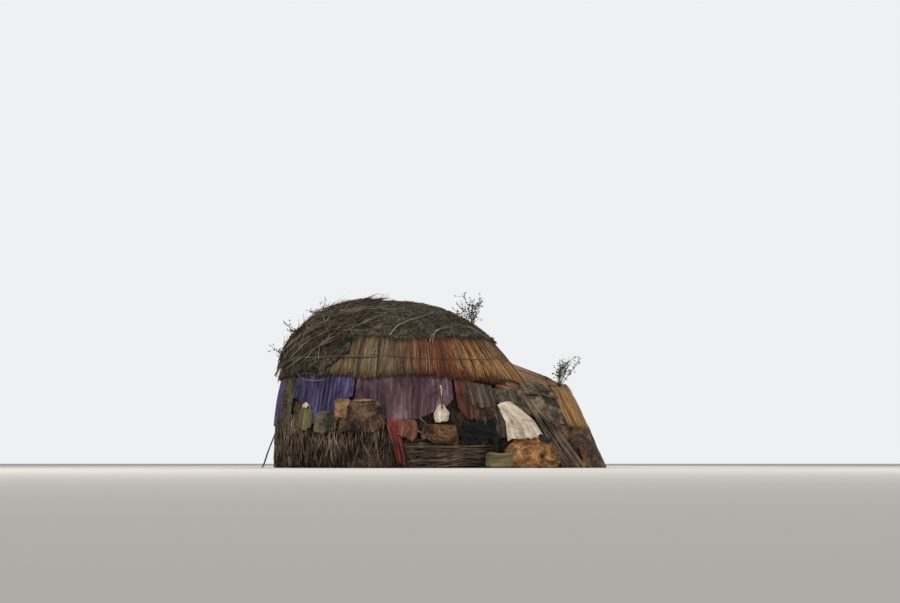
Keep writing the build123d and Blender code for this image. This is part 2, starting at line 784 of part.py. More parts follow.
# Thin poles leaning against both sides of the porch, fanned at the foot
with BuildPart() as leaning_poles:
    chance = Random(11)
    for side in (-1, 1):
        for number in range(7):
            porch_pole(
                side,
                2230 + 62 * number,
                2180 + 26 * number,
                UPPER_MAT_EDGE - 30 - 40 * chance.random(),
                THIN_POLE * chance.uniform(0.85, 1),
            )
    split(bisect_by=Plane.XY, keep=Keep.TOP)
write(leaning_poles.part, "leaning_poles")

# Prop pole leaning on the back of the house
PROP_TOP = radius(PROP_TOP_BEARING, PROP_TOP_HEIGHT, SKIRT_FACE + THIN_POLE * FLAT_SHARE)
with BuildPart() as prop_pole:
    straight_pole(
        dome_point(PROP_FOOT_BEARING, PROP_FOOT, 0),
        dome_point(PROP_TOP_BEARING, PROP_TOP, PROP_TOP_HEIGHT),
        THIN_POLE,
        tangent(PROP_TOP_BEARING),
    )
    split(bisect_by=Plane.XY, keep=Keep.TOP)
write(prop_pole.part, "prop_pole")

# Bundle of cloth set down in the corner between the dome and the porch
with BuildPart() as foot_bundle:
    with BuildSketch(Plane(origin=(AXIS_X + BUNDLE_AHEAD, -BUNDLE_ASIDE, 0)).rotated((0, 0, BUNDLE_TURN))):
        RectangleRounded(BUNDLE_LENGTH, BUNDLE_DEPTH, BUNDLE_ROUNDING)
    extrude(amount=BUNDLE_HEIGHT)
    fillet(foot_bundle.faces().sort_by(Axis.Z)[-1].edges(), BUNDLE_ROUNDING * 0.8)
write(foot_bundle.part, "foot_bundle")
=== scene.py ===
"""Looks of a nomad's dome house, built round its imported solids.

The house stands on the ground at zero height, its porch faces +X, and all lengths are in metres.
A bearing is an angle in degrees round the dome's upright axis: 0 ahead, -90 the near side, 180 the back.
A layer is a distance outside the bent hoops. A turn is how far up its slice or arch a point lies, in radians.
"""

import logging
import math
from collections.abc import Callable, Sequence
from dataclasses import dataclass
from enum import Enum

import bpy
import numpy as np
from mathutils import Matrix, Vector

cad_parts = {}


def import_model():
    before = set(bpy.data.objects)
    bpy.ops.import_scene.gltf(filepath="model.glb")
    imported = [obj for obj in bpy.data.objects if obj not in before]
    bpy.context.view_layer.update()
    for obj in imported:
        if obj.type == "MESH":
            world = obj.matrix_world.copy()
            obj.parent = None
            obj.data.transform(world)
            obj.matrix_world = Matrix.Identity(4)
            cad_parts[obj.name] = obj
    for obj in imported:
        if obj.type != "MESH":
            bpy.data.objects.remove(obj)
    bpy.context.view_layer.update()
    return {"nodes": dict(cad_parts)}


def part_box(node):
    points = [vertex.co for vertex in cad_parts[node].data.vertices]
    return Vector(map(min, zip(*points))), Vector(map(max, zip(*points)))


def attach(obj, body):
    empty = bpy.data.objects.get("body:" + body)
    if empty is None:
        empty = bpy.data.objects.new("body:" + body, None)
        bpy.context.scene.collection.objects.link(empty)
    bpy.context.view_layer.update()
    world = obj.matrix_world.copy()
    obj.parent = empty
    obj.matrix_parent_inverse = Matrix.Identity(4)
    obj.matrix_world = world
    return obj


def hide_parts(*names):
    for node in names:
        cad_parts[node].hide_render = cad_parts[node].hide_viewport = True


log = logging.getLogger("dome_house")

Array = np.ndarray
Chance = np.random.Generator
Place = tuple[float, float]
Spot = tuple[float, float, float]
Colour = tuple[int, int, int]
Socket = bpy.types.NodeSocket
Placer = Callable[[Array, Array], Array]


# ---------------------------------------------------------------------------------------- finishes


def linear(colour: Colour) -> tuple[float, float, float, float]:
    """Linear colour of a colour written as 0 to 255."""
    parts = [c / 255 for c in colour]
    return (*[c / 12.92 if c <= 0.04045 else ((c + 0.055) / 1.055) ** 2.4 for c in parts], 1.0)


@dataclass(frozen=True)
class Noise:
    """A noise in a pattern.

    Attributes:
        scale: Repeats a metre along each coordinate.
        detail: How fine it gets.
        twist: How distorted it is.
        tint: Its share of the colour.
        relief: Its share of the bump.
        grained: How many of the coordinates the finish's grain scales.
        solid: Whether it fills the solid, and doesn't lie on its skin.
    """

    scale: Spot
    detail: float
    twist: float = 0.0
    tint: float = 0.0
    relief: float = 0.0
    grained: int = 1
    solid: bool = False


class Pattern(Enum):
    """What a finish's surface is made of, as its noises."""

    FIBRE = (Noise((150, 2.2, 1), 3, tint=0.35, relief=1), Noise((26, 1.3, 1), 4, 0.5, tint=0.65),
             Noise((60, 26, 1), 2, relief=0.4))
    CLOTH = (Noise((2.4, 1.5, 1), 6, 0.8, tint=0.5, grained=2), Noise((22, 1.6, 1), 5, 0.3, tint=0.35),
             Noise((420, 420, 1), 1, tint=0.15, relief=0.12, grained=2),
             Noise((13, 9, 1), 6, 1.4, relief=1, grained=0))
    HIDE = (Noise((3.2, 3.2, 3.2), 9, 1.1, tint=0.62, grained=3, solid=True),
            Noise((15, 15, 15), 8, 2.0, tint=0.38, relief=1, grained=3, solid=True))
    BARK = (Noise((90, 3.5, 1), 6, 0.7, tint=0.5, relief=1),
            Noise((2.6, 2.6, 2.6), 4, tint=0.5, grained=0, solid=True))


FIBRE, CLOTH, HIDE, BARK = Pattern
WANDER = Noise((2.2, 1.4, 1), 4)
WANDER_HEIGHT = 0.9
RAMP_START, RAMP_END = 0.395, 0.605
NOISE_ROUGHNESS, BUMP_STRENGTH = 0.62, 0.9


@dataclass(frozen=True)
class Nodes:
    """The nodes of a material or a world, and short ways to add them."""

    tree: bpy.types.NodeTree

    def feed(self, node: bpy.types.Node, inputs: dict[str | int, object]) -> None:
        """Links each input to its socket, or sets it to its value."""
        for name, value in inputs.items():
            if isinstance(value, Socket):
                self.tree.links.new(value, node.inputs[name])
            else:
                node.inputs[name].default_value = value

    def add(self, kind: str, inputs: dict[str | int, object], **settings: str) -> bpy.types.Node:
        """Adds a node.

        Args:
            kind: Its type, without the words that all types start with.
            inputs: The value of each input, or the socket that feeds it.
            settings: Its other settings by name.

        Returns:
            The node.
        """
        node = self.tree.nodes.new(f"ShaderNode{kind}")
        for name, value in settings.items():
            setattr(node, name, value)
        self.feed(node, inputs)
        return node

    def noise(self, vector: Socket, noise: Noise, grain: float = 1.0) -> Socket:
        """Adds a noise over coordinates, and returns its factor."""
        scale = [value * (grain if axis < noise.grained else 1) for axis, value in enumerate(noise.scale)]
        stretched = self.add("Mapping", {"Scale": scale, "Vector": vector}).outputs["Vector"]
        return self.add("TexNoise", {"Scale": 1.0, "Detail": noise.detail, "Roughness": NOISE_ROUGHNESS,
                                     "Distortion": noise.twist, "Vector": stretched}).outputs["Fac"]

    def total(self, parts: Sequence[tuple[Socket, float]]) -> Socket:
        """Adds up sockets, each times its weight."""
        total = None
        for part, weight in parts:
            if weight != 1:
                part = self.add("Math", {0: part, 1: weight}, operation="MULTIPLY").outputs[0]
            total = part if total is None else self.add("Math", {0: total, 1: part}, operation="ADD").outputs[0]
        return total

    def ramp(self, factor: Socket, colours: Sequence[Colour]) -> Socket:
        """Adds a colour ramp over a factor's usual range, and returns its colour."""
        ramp = self.add("ValToRGB", {"Fac": factor})
        stops = ramp.color_ramp.elements
        while len(stops) < len(colours):
            stops.new(0.5)
        for number, colour in enumerate(colours):
            stops[number].position = RAMP_START + (RAMP_END - RAMP_START) * number / (len(colours) - 1)
            stops[number].color = linear(colour)
        return ramp.outputs["Color"]


@dataclass(frozen=True)
class Finish:
    """A procedural material.

    Attributes:
        name: The material's name.
        slot: The record's material slot; not used.
        pattern: What the surface is made of.
        colours: Colours from the darkest to the lightest.
        beyond: A second row of colours, to which the piece changes along itself.
        change: Where the change starts and ends, in metres along the piece.
        grain: How fine the pattern is.
        bump: How deep the pattern is, in metres.
        sheen: The shader's sheen, for cloth.
        roughness: The shader's roughness.
        gloss: The shader's specular level.
    """

    name: str
    slot: str
    pattern: Pattern
    colours: tuple[Colour, ...]
    beyond: tuple[Colour, ...] = ()
    change: Place = (0.0, 1.0)
    grain: float = 1.0
    bump: float = 0.004
    sheen: float = 0.0
    roughness: float = 0.9
    gloss: float = 0.25

    def changed(self, nodes: Nodes, along: Socket, tint: Socket) -> Socket:
        """The colour with its change along the piece, unevenly."""
        ahead = nodes.add("SeparateXYZ", {0: along}).outputs[0]
        place = nodes.total([(ahead, 1), (nodes.noise(along, WANDER), WANDER_HEIGHT)])
        start, end = (edge + WANDER_HEIGHT / 2 for edge in self.change)
        share = nodes.add("MapRange", {"From Min": start, "From Max": end, "Value": place}).outputs["Result"]
        colours = {"A": nodes.ramp(tint, self.colours), "B": nodes.ramp(tint, self.beyond)}
        return nodes.add("Mix", {"Factor": share, **colours}, data_type="RGBA").outputs["Result"]

    def material(self) -> bpy.types.Material:
        """Builds the material, or returns it if it is there already."""
        name = f"looks_{self.name}"
        made = bpy.data.materials.get(name)
        if made:
            return made
        made = bpy.data.materials.new(name)
        made.use_nodes = True
        nodes = Nodes(made.node_tree)
        sources = nodes.add("TexCoord", {}).outputs
        noises = [(noise, nodes.noise(sources["Object" if noise.solid else "UV"], noise, self.grain))
                  for noise in self.pattern.value]
        tint = nodes.total([(factor, noise.tint) for noise, factor in noises if noise.tint])
        relief = nodes.total([(factor, noise.relief) for noise, factor in noises if noise.relief])
        colour = self.changed(nodes, sources["UV"], tint) if self.beyond else nodes.ramp(tint, self.colours)
        bump = nodes.add("Bump", {"Strength": BUMP_STRENGTH, "Distance": self.bump, "Height": relief})
        nodes.feed(made.node_tree.nodes["Principled BSDF"], {
            "Base Color": colour, "Roughness": self.roughness, "Specular IOR Level": self.gloss,
            "Sheen Weight": self.sheen, "Normal": bump.outputs["Normal"]})
        return made


RUST_MAT = Finish("rust_to_tan_mat", "rust_mat", FIBRE,
                  ((28, 22, 17), (84, 68, 50), (126, 104, 76), (170, 149, 114)),
                  ((29, 16, 11), (86, 48, 34), (124, 72, 49), (164, 113, 76)), (1.25, 1.75), bump=0.008)
FAR_MAT = Finish("plain_rust_mat", "rust_mat", FIBRE,
                 ((27, 18, 14), (80, 56, 43), (114, 84, 63), (158, 128, 95)), bump=0.008)
PORCH_MAT = Finish("porch_roof_mat", "rust_mat", FIBRE,
                   ((32, 20, 13), (90, 62, 43), (130, 94, 64), (170, 133, 95)), bump=0.008)
GOLD_STRAW = Finish("gold_straw", "rust_mat", FIBRE,
                    ((72, 48, 28), (134, 96, 56), (172, 130, 80), (202, 166, 112)))
CROWN = Finish("weathered_crown_mat", "crown_mat", HIDE,
               ((15, 13, 11), (47, 42, 35), (80, 72, 59), (124, 112, 92)), grain=2.2, bump=0.025)
CROWN_TUFT = Finish("crown_fibres", "crown_mat", FIBRE,
                    ((20, 17, 14), (60, 53, 43), (98, 88, 70), (150, 135, 108)))
BRUSHWOOD = Finish("brushwood", "brushwood", BARK,
                   ((18, 14, 11), (50, 40, 32), (88, 73, 59), (138, 120, 99)))
MOSS = Finish("heaped_scrub", "brushwood", HIDE,
              ((15, 13, 10), (43, 38, 30), (73, 65, 52), (114, 103, 84)), grain=3.0, bump=0.025)
HEAP_TWIG = Finish("heap_twigs", "brushwood", BARK,
                   ((28, 23, 18), (68, 57, 46), (108, 93, 76), (156, 139, 116)))
BARE_BRANCH = Finish("bare_branch", "bare_branch", BARK,
                     ((56, 47, 38), (100, 87, 71), (138, 122, 101), (168, 153, 129)))
DARK_POLE = Finish("weathered_pole", "bare_branch", BARK,
                   ((34, 27, 21), (74, 61, 49), (112, 95, 78), (152, 134, 111)))
PALE_STICK = Finish("pale_stick", "bare_branch", BARK,
                    ((42, 33, 26), (88, 73, 59), (128, 109, 90), (166, 148, 125)))
ROPE = Finish("fibre_rope", "rope", FIBRE,
              ((44, 45, 36), (76, 77, 61), (104, 103, 83), (134, 130, 106)), grain=2.0)
LINING = Finish("lining_hide", "lining_hide", HIDE,
                ((12, 9, 7), (27, 20, 16), (42, 32, 25), (60, 47, 36)), bump=0.012)
GOLD_MAT = Finish("gold_mat", "gold_mat", FIBRE,
                  ((66, 45, 27), (124, 90, 54), (160, 123, 75), (194, 159, 107)))
BLUE = Finish("blue_cotton", "blue_cloth", CLOTH,
              ((18, 15, 30), (48, 41, 68), (80, 72, 108), (122, 115, 146)), sheen=0.12)
MAUVE = Finish("mauve_cotton", "mauve_cloth", CLOTH,
               ((28, 17, 22), (62, 42, 49), (93, 67, 74), (134, 108, 110)), sheen=0.12)
VIOLET = Finish("violet_cotton", "violet_cloth", CLOTH,
                ((26, 13, 38), (52, 27, 70), (78, 45, 100), (104, 72, 122)), sheen=0.12)
RUST_CLOTH = Finish("rust_cotton", "rust_cloth", CLOTH,
                    ((32, 15, 11), (74, 38, 29), (104, 58, 44), (132, 86, 67)), sheen=0.1)
RED = Finish("brick_red_cotton", "red_cloth", CLOTH,
             ((46, 15, 12), (104, 38, 30), (140, 58, 46), (168, 92, 73)), sheen=0.1)
FADED_RED = Finish("faded_red_cotton", "red_cloth", CLOTH,
                   ((58, 33, 27), (108, 66, 53), (142, 92, 74), (168, 122, 100)), sheen=0.15)
BLACK = Finish("black_cotton", "black_cloth", CLOTH,
               ((3, 3, 4), (8, 7, 10), (15, 14, 18), (32, 31, 36)))
CREAM = Finish("dusty_cream_cotton", "cream_cloth", CLOTH,
               ((126, 112, 94), (190, 175, 154), (220, 206, 186), (238, 229, 214)), sheen=0.1, bump=0.009)
SLATE = Finish("slate_cotton", "blue_cloth", CLOTH, ((14, 15, 19), (32, 34, 42), (52, 55, 64), (78, 82, 90)))
DUSTY_HIDE = Finish("dusty_olive_hide", "brown_hide", HIDE,
                    ((22, 18, 14), (60, 50, 39), (92, 80, 63), (134, 119, 96)), grain=1.6, bump=0.016)
KHAKI = Finish("khaki_sacking", "khaki_cloth", CLOTH,
               ((60, 53, 34), (96, 86, 58), (124, 113, 78), (150, 139, 101)), grain=0.6, bump=0.006)
GREY_MAT = Finish("grey_brown_mat", "grey_mat", FIBRE,
                  ((28, 24, 20), (60, 52, 44), (86, 76, 64), (116, 105, 90)), bump=0.006)
OLIVE_HIDE = Finish("olive_hide", "olive_hide", HIDE,
                    ((30, 27, 19), (58, 52, 38), (82, 74, 55), (106, 97, 75)), bump=0.007)
BROWN_HIDE = Finish("dark_brown_hide", "brown_hide", HIDE,
                    ((13, 9, 6), (44, 31, 22), (75, 54, 39), (114, 90, 67)), bump=0.016)
TAN_HIDE = Finish("tan_hide", "tan_hide", HIDE,
                  ((32, 22, 15), (80, 55, 37), (114, 83, 56), (150, 119, 86)), bump=0.014)
ORANGE_HIDE = Finish("orange_brown_hide", "orange_hide", HIDE,
                     ((30, 18, 11), (112, 76, 44), (158, 112, 68), (200, 158, 108)), grain=1.5, bump=0.022)
LEAF = Finish("dry_leaves", "brushwood", HIDE,
              ((24, 25, 16), (44, 45, 29), (66, 65, 43), (90, 86, 60)))
BENT_POLE = Finish("bent_pole_bark", "bent_pole_wood", HIDE,
                   ((34, 24, 18), (66, 49, 37), (92, 71, 55), (118, 95, 74)), grain=3.0)


# ------------------------------------------------------------------------------- surfaces of the house


OCTAVES = (1.0, 1.4, 1.9, 2.7, 3.7, 5.2, 7.1)
OCTAVES_HEIGHT = 2.9


def waves(seed: int, first: Array, second: Array | float = 0.0) -> Array:
    """Smooth, repeatable unevenness between about -1 and 1.

    Args:
        seed: Picks the pattern.
        first: One coordinate.
        second: The other coordinate.

    Returns:
        One value for each place.
    """
    chance = np.random.default_rng(seed)
    total = np.zeros(np.broadcast(first, second).shape)
    for octave in OCTAVES:
        angle, phase = chance.uniform(0, math.tau, 2)
        total = total + np.sin(octave * (math.cos(angle) * first + math.sin(angle) * second)
                               + phase) / octave ** 0.7
    return total / OCTAVES_HEIGHT


def look_up(table: Sequence[Place], where: Array) -> Array:
    """Values of a table of places and values, at and between its places."""
    return np.interp(where, *np.transpose(table))


def along_places(places: Sequence[Sequence[float]], share: Array) -> list[Array]:
    """Each coordinate at shares of the way through evenly timed places."""
    stops = np.linspace(0, 1, len(places))
    return [np.interp(share, stops, column) for column in np.transpose(places)]


def between(first: Array, second: Array, share: Array) -> Array:
    """Values at shares of the way from the first to the second."""
    return first + (second - first) * share


def unit(vectors: Array) -> Array:
    """Vectors made one long."""
    return vectors / np.maximum(np.linalg.norm(vectors, axis=-1, keepdims=True), 1e-9)


@dataclass(frozen=True)
class Dome:
    """The surface over the dome's bent hoops, as the solids have it."""

    axis_x: float = -0.481
    back: float = 1.759
    front: float = 1.960
    half_width: float = 1.700
    height: float = 2.263
    fullness: float = 2.52
    slackness: float = 0.53

    def bearing(self, points: Array) -> Array:
        """Bearing of each point."""
        return np.degrees(np.arctan2(points[..., 1], points[..., 0] - self.axis_x))

    def power(self, bearing: Array) -> Array:
        """Exponent of the slice at a bearing."""
        return self.fullness - self.slackness * np.cos(np.radians(bearing))

    def reach(self, bearing: Array, layer: Array) -> Array:
        """Distance from the axis to a layer at the ground."""
        ahead = np.cos(np.radians(bearing))
        length = np.where(ahead > 0, self.front, self.back) + layer
        return 1 / np.hypot(ahead / length, np.sin(np.radians(bearing)) / (self.half_width + layer))

    def turn(self, bearing: Array, height: Array, layer: Array) -> Array:
        """Turn at which a height lies on a layer."""
        share = np.clip(height / (self.height + layer), 0, 1)
        return np.arcsin(share ** (self.power(bearing) / 2))

    def at_turn(self, bearing: Array, turn: Array, layer: Array) -> Array:
        """Points on a layer, by bearing and turn."""
        power = self.power(bearing)
        out = self.reach(bearing, layer) * np.clip(np.cos(turn), 0, 1) ** (2 / power)
        up = (self.height + layer) * np.clip(np.sin(turn), 0, 1) ** (2 / power)
        angle = np.radians(bearing)
        return np.stack(np.broadcast_arrays(self.axis_x + out * np.cos(angle), out * np.sin(angle), up), -1)

    def at(self, bearing: Array, height: Array, layer: Array) -> Array:
        """Points on a layer, by bearing and height."""
        return self.at_turn(bearing, self.turn(bearing, height, layer), layer)

    def inside(self, points: Array, layer: float) -> Array:
        """Whether each point lies inside a layer."""
        bearing = self.bearing(points)
        power = self.power(bearing)
        share = np.clip(points[..., 2] / (self.height + layer), 0, 1)
        out = self.reach(bearing, layer) * np.clip(1 - share ** power, 0, 1) ** (1 / power)
        return np.hypot(points[..., 1], points[..., 0] - self.axis_x) < out


@dataclass(frozen=True)
class Porch:
    """The surface over the porch's leaning hoops, as the solids have it."""

    root: float = 1.260
    length: float = 1.690
    front: float = 2.875
    lean: float = 0.42
    half_width: float = 1.200
    front_height: float = 1.140
    fall: float = 0.436
    nose: float = 2.6
    arch: float = 2.5
    lining_layer: float = 0.010
    roof_layer: float = 0.080

    def half(self, foot: Array, layer: Array) -> Array:
        """Half the width where a leaning arch stands."""
        share = np.clip((foot - self.root) / self.length, 0, 1) ** self.nose
        return self.half_width * (1 - share) ** (1 / self.nose) + layer

    def top(self, foot: Array, layer: Array) -> Array:
        """Height of the leaning arch that stands at a foot."""
        return self.front_height + self.fall * (self.front - foot) + layer

    def at_turn(self, foot: Array, turn: Array, layer: Array) -> Array:
        """Points on a layer, by foot and turn: 0 is the near side's ground and half a turn the far side's."""
        cosine = np.cos(turn)
        across = -self.half(foot, layer) * np.sign(cosine) * np.abs(cosine) ** (2 / self.arch)
        up = self.top(foot, layer) * np.clip(np.sin(turn), 0, 1) ** (2 / self.arch)
        ahead = DOME.axis_x + foot - self.lean * up
        return np.stack(np.broadcast_arrays(ahead, across, up), -1)

    def on_side(self, side: int, foot: Array, height: Array, layer: Array) -> Array:
        """Points on one side, -1 near and 1 far, by the foot of their arch and height."""
        turn = np.arcsin(np.clip(height / self.top(foot, layer), 0, 1) ** (self.arch / 2))
        return self.at_turn(foot, turn, layer) * (1, -side, 1)

    def at(self, side: int, ahead: Array, height: Array, layer: Array) -> Array:
        """Points on one side, by distance ahead of the dome's axis and height."""
        return self.on_side(side, np.clip(ahead + self.lean * height, self.root, self.front), height, layer)

    def mouth(self, foot: float, height: Array, behind: Array, across: Array) -> Array:
        """Points by height and place across, behind the leaning plane that stands at a foot."""
        return np.stack([DOME.axis_x + foot - behind - self.lean * height, across, height], -1)

    def first_foot(self, turn: Array, layer: Array) -> Array:
        """Where a piece of the porch leaves the dome's lining or roof mats, for each turn."""
        low = np.full(np.shape(turn), self.root)
        high = np.full(np.shape(turn), self.front)
        for _ in range(24):
            middle = (low + high) / 2
            points = self.at_turn(middle, turn, layer)
            roof = DOME.inside(points, self.roof_layer) & (points[..., 2] > eave(DOME.bearing(points)) - 0.01)
            within = roof | DOME.inside(points, self.lining_layer)
            low, high = np.where(within, middle, low), np.where(within, high, middle)
        return high


DOME = Dome()
PORCH = Porch()

EAVE_BY_BEARING = ((0, 1.400), (15, 1.372), (22, 1.312), (28, 1.222), (33, 1.172), (54, 1.198), (70, 1.226),
                   (84, 1.268), (102, 1.206), (120, 1.272), (180, 1.290))


def from_ahead(bearing: Array) -> Array:
    """How far a bearing is from straight ahead, the same on both sides."""
    return np.abs((np.asarray(bearing, float) + 180) % 360 - 180)


def eave(bearing: Array) -> Array:
    """Height of the roof mats' lower edge."""
    return look_up(EAVE_BY_BEARING, from_ahead(bearing))


# ------------------------------------------------------------------------------------- making meshes


def select_only(piece: bpy.types.Object) -> None:
    """Selects a piece, makes it active and deselects all else."""
    bpy.ops.object.select_all(action="DESELECT")
    piece.select_set(True)
    bpy.context.view_layer.objects.active = piece


def modify(piece: bpy.types.Object, kind: str, **settings: object) -> None:
    """Adds a modifier with settings by name, and applies it."""
    select_only(piece)
    modifier = piece.modifiers.new(kind.lower(), kind)
    for name, value in settings.items():
        setattr(modifier, name, value)
    bpy.ops.object.modifier_apply(modifier=modifier.name)


def in_edit_mode(act: Callable[..., object], **settings: float) -> None:
    """Runs an operator on all of the active piece's points."""
    bpy.ops.object.mode_set(mode="EDIT")
    bpy.ops.mesh.select_all(action="SELECT")
    act(**settings)
    bpy.ops.object.mode_set(mode="OBJECT")


def started(name: str) -> bpy.types.Object:
    """The piece that an operator has just added, with its name."""
    piece = bpy.context.active_object
    piece.name = piece.data.name = name
    return piece


def points_of(mesh: bpy.types.Mesh) -> Array:
    """A mesh's points, as points by 3."""
    flat = np.empty(len(mesh.vertices) * 3, np.float32)
    mesh.vertices.foreach_get("co", flat)
    return flat.reshape(-1, 3).astype(float)


def set_points(mesh: bpy.types.Mesh, points: Array) -> None:
    """Moves a mesh's points."""
    mesh.vertices.foreach_set("co", points.astype(np.float32).ravel())


def dress(piece: bpy.types.Object, finish: Finish, node: str = "") -> None:
    """Gives a piece its finish and ties it to the house, in place of the solid that it stands for, if any."""
    piece.data.materials.clear()
    piece.data.materials.append(finish.material())
    piece.data.polygons.foreach_set("use_smooth", np.ones(len(piece.data.polygons), bool))
    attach(piece, "root")
    if node:
        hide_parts(node)
    log.info("%s: %d faces", piece.name, len(piece.data.polygons))


@dataclass
class Net:
    """A grid laid over a surface, with its size as flat cloth."""

    piece: bpy.types.Object
    width: float
    length: float
    area: float

    def finish(self, thickness: float, finish: Finish, node: str = "") -> "Net":
        """Thickens the grid inwards from its face, and dresses it."""
        modify(self.piece, "SOLIDIFY", thickness=thickness, offset=-1.0, use_even_offset=False)
        dress(self.piece, finish, node)
        return self

    def declare_sheet(self, held: str, rests_on: str) -> None:
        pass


def lay_net(name: str, columns: int, rows: int, place: Placer) -> Net:
    """Adds a grid and lays it over a surface.

    Args:
        name: The piece's name.
        columns: Faces along the piece.
        rows: Faces up the piece.
        place: Gives the points for two arrays of shares, along and up.

    Returns:
        The grid with its flat size.
    """
    bpy.ops.object.select_all(action="DESELECT")
    bpy.ops.mesh.primitive_grid_add(x_subdivisions=columns, y_subdivisions=rows, size=1.0)
    piece = started(name)
    mesh = piece.data
    shares = points_of(mesh)[:, :2] + 0.5
    points = place(shares[:, 0], shares[:, 1])
    set_points(mesh, points)
    tidy = shares.round(5)
    order = np.lexsort((tidy[:, 0], tidy[:, 1]))
    net = points[order].reshape(-1, len(np.unique(tidy[:, 0])), 3)
    along, up = np.diff(net, axis=1), np.diff(net, axis=0)
    width = np.linalg.norm(along, axis=2).sum(1).mean()
    length = np.linalg.norm(up, axis=2).sum(0).mean()
    area = np.linalg.norm(np.cross(along[:-1], up[:, :-1]), axis=2).sum()
    corners = np.empty(len(mesh.loops), np.int32)
    mesh.loops.foreach_get("vertex_index", corners)
    mesh.uv_layers[0].data.foreach_set("uv", (shares[corners] * (width, length)).astype(np.float32).ravel())
    mesh.update()
    return Net(piece, float(width), float(length), float(area))


def strands(name: str, finish: Finish, paths: Array, radii: Array, sides: int = 4, node: str = "",
            across: Array | None = None) -> None:
    """Makes many thin round strands as one piece, none of it under the ground.

    Args:
        name: The piece's name.
        finish: Its finish.
        paths: The points of each strand, as strands by points by 3.
        radii: The radius at each point, as strands by points.
        sides: Faces round a strand.
        node: The solid that it stands for.
        across: Where each strand lies along the piece, for its pattern.
    """
    count, steps, _ = paths.shape
    run = unit(np.gradient(paths, axis=1))
    upright = np.abs(run[..., 2:3]).mean(axis=1, keepdims=True) > 0.8
    reference = np.where(upright, (1.0, 0.0, 0.0), (0.0, 0.0, 1.0))
    first = unit(np.cross(run, np.broadcast_to(reference, run.shape)))
    second = np.cross(run, first)
    angles = math.tau * np.arange(sides) / sides
    rings = (paths[:, :, None] + radii[:, :, None, None] * (
        np.cos(angles)[:, None] * first[:, :, None] + np.sin(angles)[:, None] * second[:, :, None]))
    rings[..., 2] = np.maximum(rings[..., 2], 0.0)
    base = (np.arange(count) * steps * sides)[:, None, None]
    step = (np.arange(steps - 1) * sides)[None, :, None]
    here, after = np.arange(sides)[None, None, :], (np.arange(sides) + 1) % sides
    quads = np.stack(np.broadcast_arrays(base + step + here, base + step + after, base + step + sides + after,
                                         base + step + sides + here), -1).reshape(-1)
    start_caps = (base[:, 0] + np.arange(sides)[::-1]).reshape(-1)
    end_caps = (base[:, 0] + (steps - 1) * sides + np.arange(sides)).reshape(-1)
    loops = np.concatenate([quads, start_caps, end_caps]).astype(np.int32)
    starts = np.concatenate([np.arange(0, len(quads), 4), np.arange(len(quads), len(loops), sides)])
    mesh = bpy.data.meshes.new(name)
    mesh.vertices.add(count * steps * sides)
    set_points(mesh, rings)
    mesh.loops.add(len(loops))
    mesh.loops.foreach_set("vertex_index", loops)
    mesh.polygons.add(len(starts))
    mesh.polygons.foreach_set("loop_start", starts.astype(np.int32))
    mesh.update(calc_edges=True)
    pieces_of_run = np.linalg.norm(np.diff(paths, axis=1), axis=2)
    length = np.concatenate([np.zeros((count, 1)), np.cumsum(pieces_of_run, 1)], 1)
    where = np.arange(count) * 0.037 if across is None else across
    u = where[:, None, None] + radii[:, :, None] * angles
    v = np.broadcast_to(length[:, :, None] + (np.arange(count) * 0.61 % 1)[:, None, None], u.shape)
    uv = np.stack([u, v], -1).reshape(-1, 2)[loops]
    mesh.uv_layers.new(name="UVMap").data.foreach_set("uv", uv.astype(np.float32).ravel())
    piece = bpy.data.objects.new(name, mesh)
    bpy.context.scene.collection.objects.link(piece)
    dress(piece, finish, node)


def strands_with_pale(name: str, paths: Array, radii: Array, sides: int, pale: Array, node: str = "") -> None:
    """Makes dark sticks, and a second piece of pale ones from those that pale picks."""
    strands(name, BRUSHWOOD, paths[~pale], radii[~pale], sides, node)
    strands(f"{name}_pale", DARK_POLE, paths[pale], radii[pale], sides)


def swell(steps: int, thick: Array, thin_end: float = 0.35, thick_end: float = 0.8) -> Array:
    """Radii of strands that taper to their last point.

    Args:
        steps: How many points each has.
        thick: The radius of each strand.
        thin_end: The last radius, as a share.
        thick_end: The first radius, as a share.

    Returns:
        Radii as strands by points.
    """
    share = np.linspace(0, 1, steps)
    profile = np.minimum(thick_end + (1 - thick_end) * share * 6, 1) * (1 - (1 - thin_end) * share ** 1.6)
    return np.reshape(thick, (-1, 1)) * profile


def over_dome(seed: int, low: tuple[Array, Array], high: tuple[Array, Array], steps: int, layer: Array,
              sway: Array) -> Array:
    """Paths up the dome between two places.

    Args:
        seed: Picks the wandering.
        low: Bearings and heights of the lower ends.
        high: Bearings and heights of the upper ends.
        steps: Points of each path.
        layer: Layer of each point, as strands by points.
        sway: How far each path wanders, in degrees.

    Returns:
        Points as strands by points by 3.
    """
    share = np.linspace(0, 1, steps)
    low_bearing, low_height, high_bearing, high_height = (np.asarray(a, float)[:, None] for a in (*low, *high))
    bearing = between(low_bearing, high_bearing, share)
    bearing = bearing + np.reshape(sway, (-1, 1)) * waves(seed, low_bearing * 2.1, share * 5)
    start, end = DOME.turn(bearing, low_height, layer), DOME.turn(bearing, high_height, layer)
    return DOME.at_turn(bearing, between(start, end, share), layer)


# ------------------------------------------------------------------------------------------ the roof


